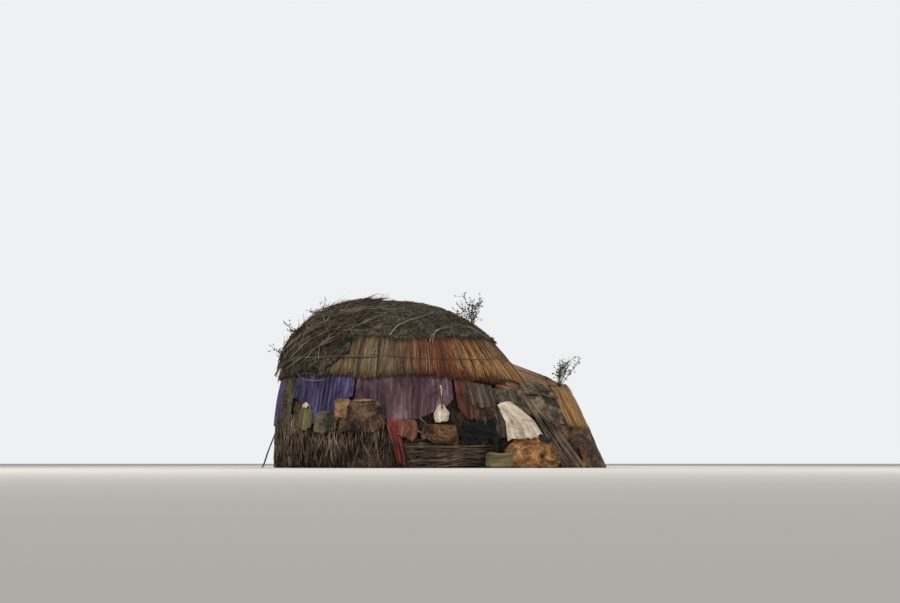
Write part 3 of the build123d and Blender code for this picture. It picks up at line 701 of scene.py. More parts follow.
@dataclass(frozen=True)
class Gore:
    """One of the four woven roof mats: a thick base under loose fibres that end raggedly at the eave."""

    side: str
    start: float
    end: float
    fibres: int
    finish: Finish
    seed: int
    skin: float = 0.0745
    thickness: float = 0.018
    overlap: float = 0.4
    base_top: float = 1.30
    coat_skin: float = 0.080
    coat_top: float = 1.93
    short_top: float = 1.45
    whole_share: float = 0.66
    ragged: Place = (-0.012, 0.016)
    flare: float = 0.008
    fibre: float = 0.0052
    steps: int = 8

    def place(self, along: Array, up: Array) -> Array:
        """Points of the base."""
        bearing = self.start - self.overlap + (self.end - self.start + 2 * self.overlap) * along
        layer = self.skin + 0.005 * waves(self.seed, bearing / 7, up * 6)
        low = DOME.turn(bearing, eave(bearing) + 0.012 * waves(self.seed + 1, bearing / 3), layer)
        return DOME.at_turn(bearing, between(low, self.base_top, up), layer)

    def build(self) -> None:
        """Makes the base and the fibres."""
        base = lay_net(f"roof_mat_base_{self.side}", int((self.end - self.start) * 1.3), 22, self.place)
        base.finish(self.thickness, self.finish, f"roof_mat_{self.side}")
        seed, count = self.seed + 20, self.fibres
        chance = np.random.default_rng(seed)
        bearing = np.sort(chance.uniform(self.start, self.end, count))
        low = eave(bearing) + chance.normal(*self.ragged, count) + 0.012 * waves(seed, bearing / 2)
        high = np.where(chance.random(count) < self.whole_share, self.coat_top,
                        chance.uniform(self.short_top, self.coat_top, count))
        clump = 0.010 * waves(seed + 9, bearing * 1.2)
        flare = self.flare * np.exp(-(np.linspace(0, 1, self.steps) / 0.12) ** 2)
        layer = (self.coat_skin + (chance.uniform(0, 0.012, count) + clump)[:, None]
                 + flare * chance.normal(0.4, 1, (count, 1)))
        paths = over_dome(seed, (bearing + chance.normal(0, 0.8, count), low - 1.6 * clump), (bearing, high),
                          self.steps, layer, chance.normal(0, 0.5, count))
        radii = swell(self.steps, chance.uniform(0.5, 1.35, count) * self.fibre, 0.8, 0.45)
        across = np.radians(bearing - self.start) * 1.55
        strands(f"roof_fibres_{self.side}", self.finish, paths, radii, across=across)


@dataclass(frozen=True)
class EaveStraws:
    """The gold straws among the rust ones, and the dark fringe at the eave, of broken ends and painted shade."""

    bunches: tuple[float, ...] = (-58.5, -55.5, -53, -49.5, -47, -43.5, -41, -37.5, -34.5, -31, -27.5)
    bunch: int = 12
    straw_layer: float = 0.093
    straw_top: float = 1.85
    straw_radii: Place = (0.003, 0.006)
    fringe: int = 2600
    fringe_bearings: Place = (28, 332)
    fringe_layer: float = 0.058
    fringe_depth: float = 0.024
    fringe_drops: Place = (0.02, 0.062)
    fringe_radii: Place = (0.0025, 0.005)
    seed: int = 47

    def build(self) -> None:
        """Makes the straws and the fringe."""
        chance = np.random.default_rng(self.seed)
        count = self.bunch * len(self.bunches)
        bearing = np.concatenate([chance.normal(centre, 0.7, self.bunch) for centre in self.bunches])
        low = eave(bearing) + chance.uniform(0.0, 0.16, count)
        high = low + chance.uniform(0.15, 0.55, count)
        layer = self.straw_layer + chance.uniform(0, 0.008, (count, 1))
        high = np.minimum(high, self.straw_top)
        foot = bearing + chance.normal(1.2, 0.8, count), low
        paths = over_dome(self.seed + 1, foot, (bearing, high), 8, layer, chance.normal(0, 0.5, count))
        strands("gold_straws", GOLD_STRAW, paths, swell(8, chance.uniform(*self.straw_radii, count), 0.5, 0.5))
        # The fringe's dark brushwood colour is partly dark fibre ends and partly painted shadow under the mats'
        # lower edge.
        bearing = chance.uniform(*self.fringe_bearings, self.fringe)
        height = eave(bearing) + chance.uniform(-0.012, 0.022, self.fringe)
        layer = self.fringe_layer + chance.uniform(0, self.fringe_depth, (self.fringe, 1))
        drop = chance.uniform(*self.fringe_drops, self.fringe)
        ends = bearing + chance.normal(0, 0.8, self.fringe), height - drop
        paths = over_dome(self.seed + 2, (bearing, height), ends, 4, layer, 0 * bearing)
        radii = swell(4, chance.uniform(*self.fringe_radii, self.fringe), 0.3)
        strands("eave_fringe_and_painted_shade", BRUSHWOOD, paths, radii, 3)


@dataclass(frozen=True)
class CrownMat:
    """The thick mat over the top, with its tufts and knot."""

    edge: float = 1.765
    skin: float = 0.108
    thickness: float = 0.026
    tufts: int = 8200
    front_rise: float = 0.095
    front_width: float = 42.0
    bead: float = 0.012
    tuft_radius: float = 0.0040
    tuft_lengths: Place = (0.05, 0.13)
    tuft_lifts: Place = (0.004, 0.030)
    knot_turns: float = 2.6
    knot_radius: float = 0.050
    knot_layer: float = 0.098
    knot_height: float = 0.028
    knot_rope: float = 0.011

    def lower_edge(self, bearing: Array) -> Array:
        """Height of the mat's wavy edge."""
        ragged = 0.034 * waves(61, bearing / 9) + 0.014 * waves(65, bearing / 2)
        return self.edge + ragged + self.front_rise * np.exp(-(bearing / self.front_width) ** 2)

    def place(self, along: Array, up: Array) -> Array:
        """Points of the mat."""
        bearing = -180 + 360 * along
        layer = self.skin + 0.013 * waves(62, bearing / 9 * (1 - up), up * 9) * (1 - up ** 3)
        layer = layer + 0.010 * waves(64, bearing / 3 * (1 - up), up * 24) * (1 - up ** 3)
        layer = layer + self.bead * np.exp(-(up / 0.05) ** 2)
        low = DOME.turn(bearing, self.lower_edge(bearing), layer)
        return DOME.at_turn(bearing, between(low, math.pi / 2, up), layer)

    def build(self) -> None:
        """Makes the mat, its tufts and its knot."""
        mat = lay_net("crown_mat_base", 220, 44, self.place)
        select_only(mat.piece)
        in_edit_mode(bpy.ops.mesh.remove_doubles, threshold=0.0005)
        mat.finish(self.thickness, CROWN, "crown_mat")
        chance = np.random.default_rng(63)
        count, steps = self.tufts, 4
        bearing = chance.uniform(-180, 180, count)
        spot = np.where(chance.random(count) < 0.16, chance.uniform(0.97, 1.0, count),
                        np.sqrt(chance.random(count)))
        turn = math.pi / 2 - (math.pi / 2 - DOME.turn(bearing, self.lower_edge(bearing), 0.1)) * spot
        length = chance.uniform(*self.tuft_lengths, count)
        share = np.linspace(0, 1, steps)
        reach = DOME.reach(bearing, 0.11) * np.maximum(np.cos(turn), 0.12)
        around = bearing[:, None] + np.degrees(length * chance.normal(0, 0.7, count) / reach)[:, None] * share
        down = turn[:, None] - (length / 2.0)[:, None] * share
        lift = chance.uniform(*self.tuft_lifts, (count, 1)) * share ** 1.5
        paths = DOME.at_turn(around, down, self.skin + 0.004 + lift)
        radii = swell(steps, chance.uniform(0.6, 1.5, count) * self.tuft_radius, 0.25, 0.9)
        strands("crown_tufts", CROWN_TUFT, paths, radii, 3)
        share = np.linspace(0, 1, 44)
        angle, out = share * self.knot_turns * math.tau, self.knot_radius - 0.016 * share
        path = np.stack([DOME.axis_x + out * np.cos(angle), out * np.sin(angle),
                         DOME.height + self.knot_layer + self.knot_height * share], -1)
        strands("crown_knot_rope", ROPE, path[None], np.full((1, 44), self.knot_rope), 8, "crown_knot")


HEAP_SKIN = 0.130
HEAP_TOP = 2.30
HEAP_BEARINGS = (156, 250)
HEAP_FOOT = ((150, 1.60), (164, 1.556), (194, 1.40), (216, 1.28), (234, 1.30), (243, 1.47), (256, 1.62))


@dataclass(frozen=True)
class Twigs:
    """Twigs that lie on the heap of brushwood, some of their ends standing off it.

    Attributes:
        name: The piece's name.
        finish: Its finish.
        count: How many twigs.
        lengths: The shortest and longest.
        radii: The thinnest and thickest.
        lift: How far the loose ends stand off.
        steps: Points of each twig.
        top: The greatest height.
    """

    name: str
    finish: Finish
    count: int
    lengths: Place
    radii: Place
    lift: float
    steps: int = 9
    top: float = 2.43

    def build(self, chance: Chance) -> None:
        """Makes the twigs."""
        count = self.count
        bearing = chance.uniform(*HEAP_BEARINGS, count)
        top = DOME.turn(bearing, HEAP_TOP, 0.1)
        low = DOME.turn(bearing, look_up(HEAP_FOOT, bearing) - 0.03, 0.1)
        turn = low + (top - low) * chance.random(count) ** 0.85
        length = chance.uniform(*self.lengths, (count, 1))
        heading = chance.normal(0.6, 0.8, (count, 1))
        share = np.linspace(-0.5, 0.5, self.steps)
        reach = np.maximum(DOME.reach(bearing, 0.1) * np.cos(turn), 0.35)
        bend = chance.normal(0, 0.55, (count, 1)) * (share ** 2 - 0.1)
        along = length * (share * np.sin(heading) + bend * np.cos(heading))
        upward = length * (share * np.cos(heading) - bend * np.sin(heading))
        around = bearing[:, None] + np.degrees(along / reach[:, None])
        up = np.clip(turn[:, None] + upward / 2.1, 0.28, math.pi / 2 - 0.02)
        tip = chance.choice([0.15, 1.0, 2.2], (count, 1), p=[0.62, 0.34, 0.04])
        rise = tip * chance.uniform(0.4, 1, (count, 1)) * self.lift * np.clip(share + 0.5, 0, 1) ** 2.2
        paths = DOME.at_turn(around, up, HEAP_SKIN + 0.012 + chance.uniform(0, 0.03, (count, 1)) + rise)
        paths[..., 2] = np.minimum(paths[..., 2], self.top)
        strands(self.name, self.finish, paths, swell(self.steps, chance.uniform(*self.radii, count), 0.3))


@dataclass(frozen=True)
class Brush:
    """The heap of brushwood on the near corner of the back."""

    twigs: tuple[Twigs, ...]
    thickness: float = 0.030
    sticks: tuple[tuple[Place, ...], ...] = (
        ((168, 1.61), (176, 1.80), (187, 1.97)), ((179, 1.58), (188, 1.80), (200, 1.97), (214, 2.08)),
        ((192, 1.56), (200, 1.73), (212, 1.89), (228, 2.02)),
        ((203, 1.46), (211, 1.63), (222, 1.79), (239, 1.92)),
        ((213, 1.36), (222, 1.51), (232, 1.65), (243, 1.77)))
    bunch: int = 3
    stick_layer: float = 0.168
    stick_radii: Place = (0.006, 0.0125)
    seed: int = 71

    def place(self, along: Array, up: Array) -> Array:
        """Points of the heap."""
        bearing = 160 + 86 * along
        layer = HEAP_SKIN + 0.030 * waves(self.seed, bearing / 5, up * 10) * np.minimum(1, up * 8)
        low = DOME.turn(bearing, look_up(HEAP_FOOT, bearing) + 0.04 * waves(self.seed + 1, bearing / 2), layer)
        return DOME.at_turn(bearing, between(low, 1.34, up), layer)

    def build(self) -> None:
        """Makes the heap, its twigs and the thick, gnarled sticks laid slanting on it in bunches."""
        lay_net("brush_heap_base", 130, 54, self.place).finish(self.thickness, MOSS, "roof_brush")
        chance = np.random.default_rng(self.seed + 2)
        for twigs in self.twigs:
            twigs.build(chance)
        steps, paths = 16, []
        share = np.linspace(0, 1, steps)
        for places in self.sticks:
            for _ in range(self.bunch):
                bearing, height = along_places(places, share)
                bearing = bearing + chance.normal(0, 1.4)
                height = height + chance.normal(0, 0.03)
                twist = chance.uniform(0, 20)
                bearing = bearing + 1.3 * waves(self.seed + 3, share * 6 + twist)
                uneven = 0.014 * waves(self.seed + 4, share * 5 + twist)
                layer = self.stick_layer + uneven + chance.uniform(0, 0.012)
                paths.append(DOME.at(bearing, height, layer))
        radii = swell(steps, chance.uniform(*self.stick_radii, len(paths)), 0.4)
        strands_with_pale("brush_sticks", np.array(paths), radii, 7, np.arange(len(paths)) % self.bunch == 1)


@dataclass(frozen=True)
class Sprig:
    """A bare bush that stands out of the roof, with small dry leaves.

    Attributes:
        name: The start of its pieces' names.
        foot: Where its stems start.
        lean: The direction that it leans in.
        height: The length of its stems.
        stems: How many stems.
        seed: Picks its shape.
        stem_radii: The thinnest and thickest stem.
        twigs: How many twigs leave a point of a stem.
        twig_radii: The thinnest and thickest twig.
        twig_lengths: The shortest and longest, as shares of the height.
        leaf: The length of a leaf.
        leaf_radii: A leaf's radii along its length.
        top: The greatest height of a twig.
    """

    name: str
    foot: Spot
    lean: Spot
    height: float
    stems: int
    seed: int
    stem_radii: Place = (0.0040, 0.0062)
    twigs: int = 3
    twig_radii: Place = (0.0018, 0.003)
    twig_lengths: Place = (0.12, 0.34)
    leaf: float = 0.030
    leaf_radii: tuple[float, ...] = (0.002, 0.0075, 0.0065, 0.0012)
    top: float = 2.44

    def build(self) -> None:
        """Makes the stems with their side twigs, and the leaves."""
        chance = np.random.default_rng(self.seed)
        stems, steps = self.stems, 7
        share = np.linspace(0, 1, steps)[:, None]
        direction = unit(self.lean + chance.normal(0, 0.38, (stems, 1, 3)) * (1, 1, 0.25))
        long = self.height * chance.uniform(0.55, 1, (stems, 1, 1))
        curl = chance.normal(0, 0.16, (stems, 1, 3))
        stem = self.foot + chance.normal(0, 0.02, (stems, 1, 3))
        stem = stem + direction * long * share + curl * long * share ** 2
        start = np.repeat(stem[:, 2:steps - 1].reshape(-1, 1, 3), self.twigs, axis=0)
        count = len(start)
        outward = np.repeat(direction, (steps - 3) * self.twigs, axis=0)
        way = unit(outward + chance.normal(0, 0.75, (count, 1, 3)))
        twig = start + way * self.height * chance.uniform(*self.twig_lengths, (count, 1, 1)) * share
        paths = np.concatenate([stem, twig])
        paths[..., 2] = np.minimum(paths[..., 2], self.top)
        thick = [chance.uniform(*self.stem_radii, stems), chance.uniform(*self.twig_radii, count)]
        strands(f"{self.name}_stems", BRUSHWOOD, paths, swell(steps, np.concatenate(thick), 0.3))
        tips = twig[:, 4:].reshape(-1, 3)[::2]
        way = unit(chance.normal(0, 1, (len(tips), 3)))
        stops = len(self.leaf_radii)
        leaf = tips[:, None] + way[:, None] * (self.leaf * np.linspace(0, 1, stops))[:, None]
        leaf[..., 2] = np.minimum(leaf[..., 2], self.top + 0.005)
        strands(f"{self.name}_leaves", LEAF, leaf, np.broadcast_to(self.leaf_radii, (len(tips), stops)))


# -------------------------------------------------------------------------------- cloths on the walls


UNDER, ON_POLE, OVER = 0.0445, 0.0505, 0.060


@dataclass(frozen=True)
class Cloth:
    """A sheet that hangs, is tucked in or lies on the house.

    Attributes:
        name: The piece's name.
        finish: Its finish.
        seed: Picks its unevenness.
        node: The solid that it stands for.
        pleats: How many folds it has across.
        depth: How deep the folds are.
        lumps: How uneven it is.
        layer: The layer of its outer face.
        held: How it is held.
        on: What it rests on.
        hem: How ragged its lower edge is.
        columns: Faces across.
        rows: Faces up.
        thickness: The sheet's thickness.
    """

    name: str
    finish: Finish
    seed: int
    node: str = ""
    pleats: float = 0.0
    depth: float = 0.0
    lumps: float = 0.006
    layer: float = ON_POLE
    held: str = "hung"
    on: str = "eave_pole"
    hem: float = 0.012
    columns: int = 56
    rows: int = 40
    thickness: float = 0.004

    def place(self, along: Array, up: Array) -> Array:
        """Points of the sheet, which each kind gives."""
        raise NotImplementedError

    def build(self) -> None:
        net = lay_net(self.name, self.columns, self.rows, self.place)
        net.finish(self.thickness, self.finish, self.node)
        net.declare_sheet(self.held, self.on)


@dataclass(frozen=True)
class Hang(Cloth):
    """A sheet between two upright edges.

    Attributes:
        left: Its left edge from bottom to top, as (bearing, height) or (ahead, height) places.
        right: Its right edge, in the same way.
        side: 0 on the dome, and -1 or 1 on a side of the porch.
        rounding: How far its corners are rounded off, as a share.
    """

    left: tuple[Place, ...] = ()
    right: tuple[Place, ...] = ()
    side: int = 0
    rounding: float = 0.06

    def rounded(self, along: Array, up: Array) -> tuple[Array, Array]:
        """Shares with the sheet's corners rounded off and its sides left uneven."""
        across, rise = 2 * along - 1, 2 * up - 1
        uneven = 0.35 * self.rounding
        pull_in = self.rounding * np.abs(rise) ** 3 + uneven * waves(self.seed + 7, 2.2 * across, 4 * rise)
        pull_down = self.rounding * np.abs(across) ** 3 + uneven * waves(self.seed + 8, 4 * across)
        return (np.clip(across * (1 - pull_in), -1, 1) + 1) / 2, (np.clip(rise * (1 - pull_down), -1, 1) + 1) / 2

    def place(self, along: Array, up: Array) -> Array:
        """Points of the sheet, with folds that deepen downwards, lumps and creases."""
        along, up = self.rounded(along, up)
        flip = along if self.side != 1 else 1 - along
        across, height = (between(low, high, flip) for low, high in
                          zip(along_places(self.left, up), along_places(self.right, up)))
        loose = (1 - up) ** 0.7
        ragged = self.hem * waves(self.seed + 5, flip * 9) * (1 - up) ** 2
        phase = math.tau * self.pleats * flip + 1.1 * waves(self.seed, flip * 2.3, up * 1.2)
        fold = np.sin(phase) + 0.45 * np.sin(2.3 * phase + 1 + 1.5 * up)
        out = self.depth * (0.25 + 0.75 * loose) * (0.5 + 0.5 * fold) * np.minimum(1, (1 - up) * 9 + 0.15)
        out = out + self.lumps * (0.6 + 0.6 * waves(self.seed + 2, flip * 7, up * 6))
        crease = 1 - np.minimum(1, np.abs(waves(self.seed + 4, flip * 4 + up * 3, up * 4 - flip * 2)) * 2.2)
        out = out + 0.5 * self.lumps * crease ** 2 * (1 - up * 0.5)
        layer = self.layer + np.maximum(out, 0)
        height = np.maximum(height + ragged, 0.004)
        return PORCH.at(self.side, across, height, layer) if self.side else DOME.at(across, height, layer)


@dataclass(frozen=True)
class Curtain(Cloth):
    """A cloth from the eave pole, whose hem follows corners of its own.

    Attributes:
        corners: The hem's (bearing, height) corners.
        tuck: The greatest height of its top.
    """

    corners: tuple[Place, ...] = ()
    tuck: float = 1.305

    def place(self, along: Array, up: Array) -> Array:
        """Points of the cloth, with folds that deepen downwards."""
        bearing = between(self.corners[0][0], self.corners[-1][0], along)
        low = sum(look_up(self.corners, bearing + step) for step in (-2.6, -1.3, 0, 1.3, 2.6)) / 5
        low = low + self.hem * waves(self.seed + 5, along * 8)
        height = between(low, np.minimum(eave(bearing) + 0.035, self.tuck), up)
        loose = (1 - up) ** 0.6
        phase = math.tau * self.pleats * along + 1.3 * waves(self.seed, along * 2.3, up * 1.1)
        fold = np.sin(phase) + 0.5 * np.sin(1.9 * phase + 2 + 1.2 * up)
        out = self.depth * (0.3 + 0.7 * loose) * (0.55 + 0.45 * fold) * np.minimum(1, (1 - up) * 10 + 0.1)
        out = out + self.lumps * (0.6 + 0.6 * waves(self.seed + 2, along * 7, up * 5))
        sway = 0.5 * waves(self.seed + 3, along * 5, up * 2.5) * (1 - up)
        return DOME.at(bearing + sway, height, self.layer + np.maximum(out, 0))


NEAR_WALL = {"held": "draped", "on": "porch_wall_near", "side": -1}
FAR_WALL = {"held": "draped", "on": "porch_wall_far", "side": 1}
CLOTHS: tuple[Cloth, ...] = (
    Curtain("blue_cloth_hung", BLUE, 11, "blue_cloth", 17, 0.036, hem=0.035, columns=150,
            corners=((-144, 0.96), (-138, 0.885), (-131, 0.62), (-126, 0.555), (-120, 0.66), (-113, 0.826),
            (-109.5, 0.96))),
    Curtain("mauve_cloth_hung", MAUVE, 12, "mauve_cloth", 12, 0.030, hem=0.03, columns=150,
            corners=((-108.5, 0.864), (-101, 0.72), (-93, 0.624), (-80, 0.651), (-67, 0.826), (-64, 0.96))),
    Curtain("olive_hide_hung", OLIVE_HIDE, 13, "olive_hide", 3, 0.018, corners=((-157.5, 0.528), (-152, 0.50),
            (-145, 0.535))),
    Curtain("rust_cloth_hung", RUST_CLOTH, 14, "rust_cloth", 4, 0.020, corners=((-62.5, 0.83), (-59, 0.66),
            (-56.5, 0.56), (-54, 0.68), (-51.5, 0.836))),
    Curtain("violet_strip_hung", VIOLET, 15, "violet_strip", 3, 0.020, corners=((-174, 0.60), (-167, 0.57),
            (-158, 0.64))),
    Hang("brown_hide_tucked", BROWN_HIDE, 16, "brown_hide", 3, 0.030, 0.030, layer=0.066,
         on="wall_lining_near", rounding=0.07, hem=0.06, columns=70, left=((-115, 0.48), (-114.5, 0.72),
         (-112.5, 0.89)), right=((-94, 0.50), (-94.5, 0.70), (-97.5, 0.88))),
    Hang("brown_hide_roll", TAN_HIDE, 33, "", 1, 0.010, 0.014, layer=0.096, on="wall_lining_near",
         rounding=0.25, columns=40, rows=8, left=((-108.5, 0.868), (-108.7, 0.90)), right=((-98.5, 0.862),
         (-98.3, 0.895))),
    Hang("dark_sack_tucked", OLIVE_HIDE, 34, "", 2, 0.030, 0.030, layer=0.088, on="wall_lining_near",
         rounding=0.11, hem=0.05, left=((-128, 0.47), (-127.5, 0.62), (-126, 0.76)), right=((-116, 0.46),
         (-115.5, 0.62), (-116.5, 0.75))),
    Hang("grey_mat_tucked", GREY_MAT, 17, "grey_mat", 2, 0.024, 0.022, layer=UNDER, on="wall_lining_near",
         hem=0.03, columns=64, left=((-57, 0.83), (-57, 1.15)), right=((-42.5, 0.80), (-42.5, 1.12))),
    Hang("brown_mat_tucked", BROWN_HIDE, 35, "", 3, 0.026, 0.026, layer=UNDER - 0.008, on="wall_lining_near",
         rounding=0.12, hem=0.04, left=((-55, 0.60), (-54.5, 0.75), (-53, 0.93)), right=((-43, 0.56),
         (-42.5, 0.74), (-43, 0.90))),
    Hang("khaki_strip_tucked", KHAKI, 18, "khaki_strip", 3, 0.022, 0.020, layer=0.088, on="blue_cloth_hung",
         rounding=0.14, hem=0.03, left=((-137, 0.50), (-136.6, 0.70), (-134.5, 0.86)), right=((-128.5, 0.50),
         (-128.6, 0.70), (-130, 0.86))),
    Hang("khaki_knot_tied", CREAM, 36, "", 1, 0.012, 0.016, layer=0.116, on="blue_cloth_hung", rounding=0.3,
         columns=14, rows=14, left=((-133.8, 0.80), (-134.4, 0.83), (-133.6, 0.87)), right=((-131.2, 0.80),
         (-130.6, 0.83), (-131.2, 0.875))),
    Hang("tan_hide_laid", TAN_HIDE, 19, "tan_hide", 2, 0.026, 0.028, on="wattle_poles", rounding=0.05,
         hem=0.05, columns=70, left=((-79, 0.34), (-79.5, 0.44), (-78, 0.58)), right=((-63.5, 0.335),
         (-63, 0.44), (-64, 0.56))),
    Hang("red_cloth_hung", RED, 20, "red_cloth", 3, 0.034, 0.020, layer=OVER, on="mauve_cloth_hung", hem=0.05,
         rows=60, left=((-89.3, 0.04), (-90.7, 0.26), (-93.2, 0.466), (-94.5, 0.64)), right=((-85.6, 0.05),
         (-86.4, 0.20), (-87.6, 0.37), (-88.4, 0.64))),
    Hang("red_cloth_fold", FADED_RED, 37, "", 2, 0.034, 0.026, layer=OVER + 0.006, on="mauve_cloth_hung",
         hem=0.04, rounding=0.12, left=((-89.6, 0.43), (-89.0, 0.52), (-89.6, 0.64)), right=((-82.2, 0.36),
         (-80.9, 0.47), (-81.2, 0.63))),
    Hang("black_cloth_hung", BLACK, 21, "black_cloth", 2, 0.040, 0.040, layer=OVER, on="wattle_poles",
         rounding=0.08, hem=0.06, columns=90, rows=50, left=((-62.5, 0.34), (-63.6, 0.45), (-62.5, 0.57)),
         right=((-45.5, 0.33), (-43.8, 0.48), (-45.5, 0.66))),
    Hang("pale_bag_hung", CREAM, 22, "pale_bag", 1, 0.026, 0.024, layer=OVER, on="mauve_cloth_hung",
         rounding=0.10, columns=30, rows=30, left=((-73.6, 0.585), (-73.8, 0.70), (-71.6, 0.832)),
         right=((-67.6, 0.61), (-66.9, 0.72), (-69.0, 0.838))),
    Hang("pale_strap_hung", CREAM, 23, "", 1, 0.006, 0.008, layer=OVER, on="mauve_cloth_hung", columns=6,
         rows=30, hem=0.0, left=((-71.4, 0.81), (-70.3, 0.93), (-69.6, 1.03), (-69.9, 1.09)),
         right=((-70.6, 0.81), (-69.5, 0.93), (-68.9, 1.03), (-69.3, 1.09))),
    Hang("orange_flap_hung", TAN_HIDE, 24, "orange_flap", 1, 0.030, 0.024, layer=0.096, on="blue_cloth_hung",
         rounding=0.12, hem=0.03, columns=34, rows=36, left=((-117, 0.64), (-116.7, 0.80), (-117.5, 0.91)),
         right=((-110.5, 0.66), (-111, 0.80), (-109.5, 0.90))),
    Curtain("far_cloth_grey", GREY_MAT, 25, "far_cloths", 4, 0.020, corners=((47, 0.70), (54, 0.66),
            (62, 0.64))),
    Curtain("far_cloth_mauve", MAUVE, 26, "", 11, 0.030, hem=0.04, columns=120, corners=((64, 0.83),
            (80, 0.65), (93, 0.63), (108.5, 0.85))),
    Curtain("far_cloth_blue", BLUE, 27, "", 12, 0.034, hem=0.04, columns=120, corners=((109.5, 0.90),
            (126, 0.60), (144, 0.88))),
    Curtain("far_hide_olive", OLIVE_HIDE, 28, "", 6, 0.018, corners=((146, 0.54), (160, 0.51), (178, 0.62))),
    Hang("cream_sheet_laid", CREAM, 29, "cream_sheet", 3, 0.036, 0.036, layer=0.098, **NEAR_WALL, hem=0.03,
         columns=90, rows=60, left=((1.47, 0.36), (1.45, 0.62), (1.335, 0.85)), right=((1.98, 0.44),
         (1.81, 0.665), (1.51, 0.91))),
    Hang("dusty_cloth_tucked", GREY_MAT, 38, "", 3, 0.026, 0.026, layer=0.050, **NEAR_WALL, hem=0.03,
         columns=50, left=((1.16, 0.40), (1.14, 0.60), (1.15, 0.86)), right=((1.52, 0.38), (1.50, 0.60),
         (1.48, 0.88))),
    Hang("orange_hide_laid", ORANGE_HIDE, 30, "orange_hide", 2, 0.050, 0.050, layer=0.050, **NEAR_WALL,
         rounding=0.10, hem=0.0, columns=90, rows=60, left=((1.52, 0.006), (1.43, 0.24), (1.62, 0.44)),
         right=((2.20, 0.006), (2.20, 0.22), (2.00, 0.42))),
    Hang("side_hide_upper", DUSTY_HIDE, 39, "", 6, 0.034, 0.030, layer=0.040, **NEAR_WALL, hem=0.03,
         columns=110, rows=50, left=((1.45, 0.80), (1.30, 0.92), (1.24, 1.09)), right=((2.36, 0.54),
         (2.28, 0.82), (2.19, 1.04))),
    Hang("slate_rag_tucked", SLATE, 40, "", 2, 0.030, 0.030, layer=0.085, **NEAR_WALL, rounding=0.3,
         columns=26, rows=18, left=((1.93, 0.34), (1.90, 0.46)), right=((2.10, 0.35), (2.07, 0.44))),
    Hang("pale_rag_tucked", TAN_HIDE, 41, "", 2, 0.024, 0.024, layer=0.100, held="draped", on="porch_hides",
         side=-1, rounding=0.2, columns=22, rows=30, left=((2.50, 0.03), (2.49, 0.15), (2.44, 0.30)),
         right=((2.63, 0.02), (2.59, 0.16), (2.53, 0.28))),
    Hang("shoulder_cloth_laid", DUSTY_HIDE, 44, "", 4, 0.026, 0.026, layer=0.066, held="laid",
         on="porch_roof_base", side=-1, rounding=0.10, hem=0.03, columns=60, rows=30, left=((1.72, 1.00),
         (1.68, 1.12), (1.62, 1.24)), right=((2.24, 0.94), (2.17, 1.04), (2.06, 1.15))),
    Hang("grey_side_mat_laid", GREY_MAT, 31, "grey_side_mat", 3, 0.022, 0.022, layer=0.040, held="laid",
         on="porch_roof", side=-1, hem=0.03, columns=80, rows=20, left=((0.98, 0.87), (0.93, 1.06)),
         right=((1.80, 0.88), (1.75, 1.05))),
    Hang("far_porch_cloth_laid", CREAM, 32, "far_porch_cloth", 4, 0.030, 0.022, layer=0.106, **FAR_WALL,
         hem=0.03, columns=70, left=((1.25, 0.33), (1.20, 0.85)), right=((2.05, 0.33), (1.80, 0.85))),
    Hang("far_low_hide", TAN_HIDE, 43, "", 2, 0.044, 0.044, layer=0.046, **FAR_WALL, rounding=0.08, hem=0.0,
         columns=80, rows=50, left=((1.32, 0.006), (1.30, 0.22), (1.40, 0.40)), right=((2.22, 0.006),
         (2.20, 0.20), (2.04, 0.40))),
    Hang("far_side_hide_upper", BROWN_HIDE, 42, "", 6, 0.030, 0.028, layer=0.040, **FAR_WALL, hem=0.03,
         columns=90, left=((1.35, 0.82), (1.24, 1.09)), right=((2.36, 0.54), (2.19, 1.04))),
)


# --------------------------------------------------------------------------------- the foot of the wall


@dataclass(frozen=True)
class Lining:
    """A length of the wall's lining of hides."""

    side: str
    start: float
    end: float
    seed: int
    skin: float = 0.0115
    height: float = 1.195
    thickness: float = 0.009

    def place(self, along: Array, up: Array) -> Array:
        """Points of the lining."""
        bearing = between(self.start, self.end, along)
        layer = self.skin + 0.0035 * waves(self.seed, bearing / 4, up * 7)
        return DOME.at(bearing, 0.003 + self.height * up, layer)

    def build(self) -> None:
        """Makes the lining."""
        net = lay_net(f"lining_{self.side}", int((self.end - self.start) * 1.1), 26, self.place)
        net.finish(self.thickness, LINING, f"wall_lining_{self.side}")


